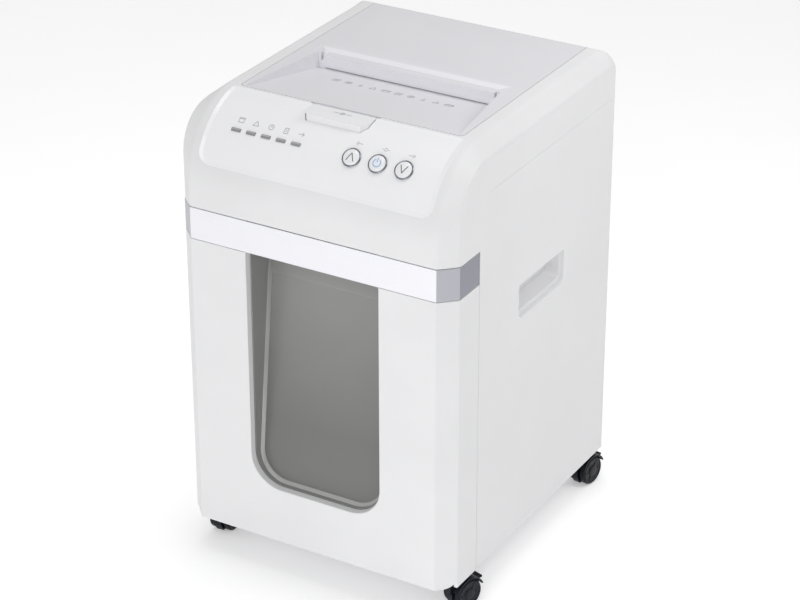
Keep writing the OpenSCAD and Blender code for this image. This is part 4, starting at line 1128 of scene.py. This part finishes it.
def bin_plan(grow, back):
    """Footprint of the bin's front with its two bevelled corners."""
    x, y = HALF_W - grow, HALF_D - grow
    slant = math.hypot(BIN_BEVEL_X, BIN_BEVEL_Y)
    cut_x = x - BIN_BEVEL_X + grow * (1 - (slant - BIN_BEVEL_X) / BIN_BEVEL_Y)
    cut_y = y - BIN_BEVEL_Y + grow * (1 - (slant - BIN_BEVEL_Y) / BIN_BEVEL_X)
    return [(-x, back), (-x, -cut_y), (-cut_x, -y), (cut_x, -y), (x, -cut_y), (x, back)]


def window_outline(grow, top):
    return rounded(rectangle(-WINDOW_HALF - grow, WINDOW_Z - grow, WINDOW_HALF + grow, top),
                   [WINDOW_R + grow, WINDOW_R + grow, 0, 0], 16)


def pocket_y(z):
    """The pocket's back wall at a height. It leans back to its top."""
    return POCKET_Y + POCKET_LEAN * (z - WINDOW_Z)


def make_bin_front():
    front = prism("bin_front_skin", bin_plan(0, BIN_BACK), GROUND, BIN_TOP - 1)
    carve(front, prism("bin_hollow", bin_plan(WALL, BIN_BACK + 8), GROUND - 5, BIN_TOP + 5))
    join(front, prism("rim", window_outline(3.0, POCKET_TOP), -HALF_D + 1, -HALF_D + RIM_DEPTH, "y"))
    # the rim slopes in from the face to the recessed pocket
    slopes = ((3.4, -1.0), (3.4, -0.001), (1.6, 0.9), (0.3, RIM_DEPTH - 1), (0.3, 30))
    carve(front, loft("window_way", [
        [(u, -HALF_D + out, v) for u, v in window_outline(grow, 520.0)] for grow, out in slopes]))
    seat = block("band_seat", (-200, -220, BAND_Z), (200, BIN_BACK + 5, BIN_TOP + 3))
    carve(front, carve(seat, prism("band_core", bin_plan(1.7, BIN_BACK + 9), BAND_Z - 2, BIN_TOP + 5)))
    for side in (-1, 1):
        corner = side_block("corner", side, (120.0, -230, 30), (200.0, -150, GROUND + 14))
        keep = rounded(rectangle(-HALF_W, GROUND, HALF_W, GROUND + 60), [14, 14, 0, 0], 10)
        carve(corner, prism("corner_keep", keep, -240, -140, "y"),
              block("corner_back", (-240, -HALF_D + 19, 0), (240, 0, 200)))
        carve(front, corner)
    dissolve_flat(front)
    finish_piece(front, "casing_white", "bin", ["bin_front"], 0.7, 3, 28)


def make_band():
    band = prism("band_skin", bin_plan(0, BIN_BACK), BAND_Z + 0.7, BIN_TOP - 1.2)
    carve(band, prism("band_core", bin_plan(1.65, BIN_BACK + 8), BAND_Z - 5, BIN_TOP + 5))
    dissolve_flat(band)
    finish_piece(band, "band_silver", "bin", ["bin_band"], 0.45, 3, 30)


def make_window_strip():
    """The shallow step across the top of the smoked pocket."""
    low, high, proud = 384.5, 412.0, 1.3
    corners = ((0.2, low, 0), (-0.25, low, 0.2), (-proud, low + 5, 0), (-proud, high, 0), (0.2, high, 0))
    side = [(pocket_y(z) + out, z + lift) for out, z, lift in corners]
    strip = prism("window_step", side, -WINDOW_HALF + 1.2, WINDOW_HALF - 1.2, "x")
    finish_piece(strip, "window_smoked", "bin", [], 0.2, 2, 20)


def make_window_bead():
    """A pale rounded bead along the crease where the pocket's back meets its sides and bottom: a painted
    highlight.
    """
    profile = ((-0.7, 3.6), (-1.5, 3.4), (-2.9, 2.2), (-4.1, 0.55), (-5.0, -0.3), (-2.0, -1.2))
    outlines = [window_outline(grow, POCKET_TOP - 6) for grow, out in profile]
    # the outline's last point is its top left corner, so the run starts there and ends top right
    bead = loft("window_bead", [
        [(o[k - 1][0], pocket_y(o[k - 1][1]) - out, o[k - 1][1]) for o, (grow, out) in zip(outlines, profile)]
        for k in range(len(outlines[0]))])
    for face in bead.data.polygons:
        face.use_smooth = True
    bead.data.materials.append(MATERIALS["window_bead"])
    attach(bead, "bin")


def pocket_skin(name, grow, push, front):
    """A solid from front to the pocket's back wall, pushed back, with a softened back edge."""
    soft = 3.0
    top = POCKET_TOP - (0 if grow > 0 else 2.0)
    rows = list(zip(window_outline(grow, top), window_outline(grow - soft, top)))
    return loft(name, [
        [(u, front, v) for (u, v), _ in rows],
        [(u, pocket_y(v) + push - soft, v) for (u, v), _ in rows],
        [(lerp(u, s, 0.3), pocket_y(v) + push - soft * 0.3, lerp(v, t, 0.3)) for (u, v), (s, t) in rows],
        [(s, pocket_y(t) + push, t) for _, (s, t) in rows]])


def make_window():
    """The smoked pocket: a flat lip behind the rim and a wall that slopes back to the top."""
    y0 = -HALF_D + RIM_DEPTH
    pocket = pocket_skin("window_pocket", 1.0, 2.0, y0)
    carve(pocket, pocket_skin("pocket_air", -1.0, 0.0, y0 - 2))
    lip = prism("lip", window_outline(8, POCKET_TOP), y0, y0 + 2, "y")
    carve(lip, prism("lip_way", window_outline(0.5, POCKET_TOP + 5), y0 - 1, y0 + 3, "y"))
    join(pocket, lip)
    dissolve_flat(pocket, 0.15)
    finish_piece(pocket, "window_smoked", "bin", ["bin_window"], 0.5, 2, 32)


# ---------- springs -----------------------


def coil(centre, low, high, radius, wire, turns):
    """A round-wire spring with closed end turns, standing on centre between two heights."""
    around = 28
    steps = turns * around
    section = [(radius + out, up) for out, up in disc_points(wire, 8)]
    rings = []
    for i in range(steps + 1):
        a = 2 * math.pi * i / around
        share = min(1.0, max(0.0, (i - around * 0.6) / (steps - around * 1.2)))
        z = lerp(low + wire, high - wire, share)
        rings.append([(centre[0] + r * math.cos(a), centre[1] + r * math.sin(a), z + up)
                      for r, up in section])
    return loft("coil", rings)


def make_springs(node, body, count, radius, wire, turns):
    """The springs of one node, fixed to one body."""
    low, high = (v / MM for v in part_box(node))
    middle = (low + high) / 2
    reach = (high.x - low.x) / 2 - radius - wire
    sides = (-1, 1) if count == 2 else (0,)
    centres = [(middle.x + side * reach, middle.y) for side in sides]
    parts = [coil(at, low.z, high.z, radius, wire, turns) for at in centres]
    spring = gather(node + "_coil", parts)
    finish_piece(spring, "steel_spring", body, [node])
    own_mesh(spring)


# ---------- caster wheels ----------

WHEEL_R = 19.0
WHEEL_GAP = 20.0
WHEEL_W = 9.0


def wheel_body(side):
    """One wheel along Z: a crowned tread with a groove, a dished face and a raised hub cap."""
    inner, outer = WHEEL_GAP / 2 - WHEEL_W / 2, WHEEL_GAP / 2 + WHEEL_W / 2
    tread = ((2.2, 0), (0.7, 0.5), (0, 1.8), (0, 3.0), (0.5, 3.3), (0.5, 3.9), (0, 4.2))
    shoulder = ((0, 2.6), (0.5, 1.5), (1.8, 0.6), (3.2, 0.3), (3.6, 1.1))
    hub = ((8.0, 1.5), (7.6, 0.7), (6.6, 0.15), (3.0, 0), (0, 0))
    profile = [(3.2, inner)] + [(WHEEL_R - r, inner + z) for r, z in tread]
    profile += [(WHEEL_R - r, outer - z) for r, z in shoulder] + [(r, outer - z) for r, z in hub]
    profile += [(0, inner), (3.2, inner)]
    parts = [lathe("wheel", [(r, z * side) for r, z in profile], 72)]
    for k in range(6):
        low, high = sorted((side * (outer - 2.2), side * (outer - 0.75)))
        spoke = block("spoke", (7.4, -0.8, low), (WHEEL_R - 3.3, 0.8, high))
        parts.append(moved(spoke, Matrix.Rotation(math.radians(60 * k), 4, "Z")))
    return parts


def make_wheels():
    axes = {joint["child"]: Vector(joint["axis"]) for joint in frame["joints"]}
    for corner in CORNERS:
        low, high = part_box("caster_wheels_" + corner)
        turn = axes["wheels_" + corner].normalized().to_track_quat("Z", "Y").to_matrix().to_4x4()
        pair = gather("wheel_pair_" + corner, wheel_body(-1) + wheel_body(1))
        moved(pair, Matrix.Translation((low + high) / 2) @ turn)
        finish_piece(pair, "wheel_dark", "wheels_" + corner, ["caster_wheels_" + corner], 0.2, 2, 35)


# ---------- making ----------

for make in (make_head, make_panel, make_lenses, make_lens_highlights, make_rings):
    make()
for key, x in BUTTON_XS.items():
    make_button(key, x)
for make in (make_status_signs, make_button_labels, make_lid, make_lid_signs, make_latch, make_latch_sign,
             make_cabinet, make_bin_front, make_band, make_window, make_window_strip, make_window_bead):
    make()
make_springs("pressure_springs", "lid", 2, 5.4, 0.5, 6)
make_springs("latch_spring", "machine", 1, 5.0, 0.6, 5)
make_wheels()

# ---------- studio ----------

WORLD_STRENGTH = 0.54
FLOOR_GLOW = 0.33
# each light's place, aim, size and power
LIGHTS = {
    "key": ((0.3, -2.7, 2.0), (0, 0, 0.3), (2.2, 1.4), 16.0),
    "low": ((0.4, -1.7, 0.15), (0.1, -0.2, 0.12), (1.2, 0.3), 3.8),
    "right": ((0.98, 0.25, 1.25), (0.185, -0.06, 0.45), (0.6, 0.6), 5.0),
    "top": ((0.0, 0.15, 2.8), (0, 0, 0.5), (1.6, 1.6), 15.0),
}


def add_area(name, at, aim, size, power):
    data = bpy.data.lights.new(name, "AREA")
    data.shape = "RECTANGLE"
    data.size, data.size_y = size
    data.energy = power
    light = link_object(name, data)
    light.visible_camera = False
    light.location = at
    light.rotation_euler = (Vector(aim) - Vector(at)).to_track_quat("-Z", "Y").to_euler()


def add_floor():
    half, cells = 6.0, 8
    n, step = cells + 1, 2 * half / cells
    mesh = bpy.data.meshes.new("floor")
    mesh.from_pydata(
        [(-half + step * i, -half + step * j, 0) for j in range(n) for i in range(n)], [],
        [(j * n + i, j * n + i + 1, (j + 1) * n + i + 1, (j + 1) * n + i)
         for j in range(cells) for i in range(cells)])
    floor = link_object("floor", mesh)
    m = Nodes("floor_pale")
    drift = m.noise(3.0, 3.0)
    m.set(Base_Color=m.ramp(drift, (0.93, 0.93, 0.93), (0.95, 0.95, 0.95)),
          Roughness=m.span(drift, 0.75, 0.85), Specular_IOR_Level=0.1,
          Emission_Color=(1, 1, 1, 1), Emission_Strength=FLOOR_GLOW)
    mesh.materials.append(m.material)


def add_world():
    """A white surround that fades to the right."""
    world = bpy.data.worlds.new("studio")
    world.use_nodes = True
    tree = world.node_tree
    back = tree.nodes["Background"]
    way = tree.nodes.new("ShaderNodeSeparateXYZ")
    tree.links.new(tree.nodes.new("ShaderNodeTexCoord").outputs["Generated"], way.inputs[0])
    fade = tree.nodes.new("ShaderNodeMapRange")
    for key, value in (("From Min", 0.25), ("From Max", 0.95), ("To Min", 1.0), ("To Max", 0.3)):
        fade.inputs[key].default_value = value
    tree.links.new(way.outputs["X"], fade.inputs["Value"])
    tree.links.new(fade.outputs["Result"], back.inputs["Color"])
    back.inputs["Strength"].default_value = WORLD_STRENGTH
    scene.world = world


add_world()
add_floor()
for name, values in LIGHTS.items():
    add_area(name, *values)
scene.view_settings.view_transform = "Standard"
scene.view_settings.look = "None"
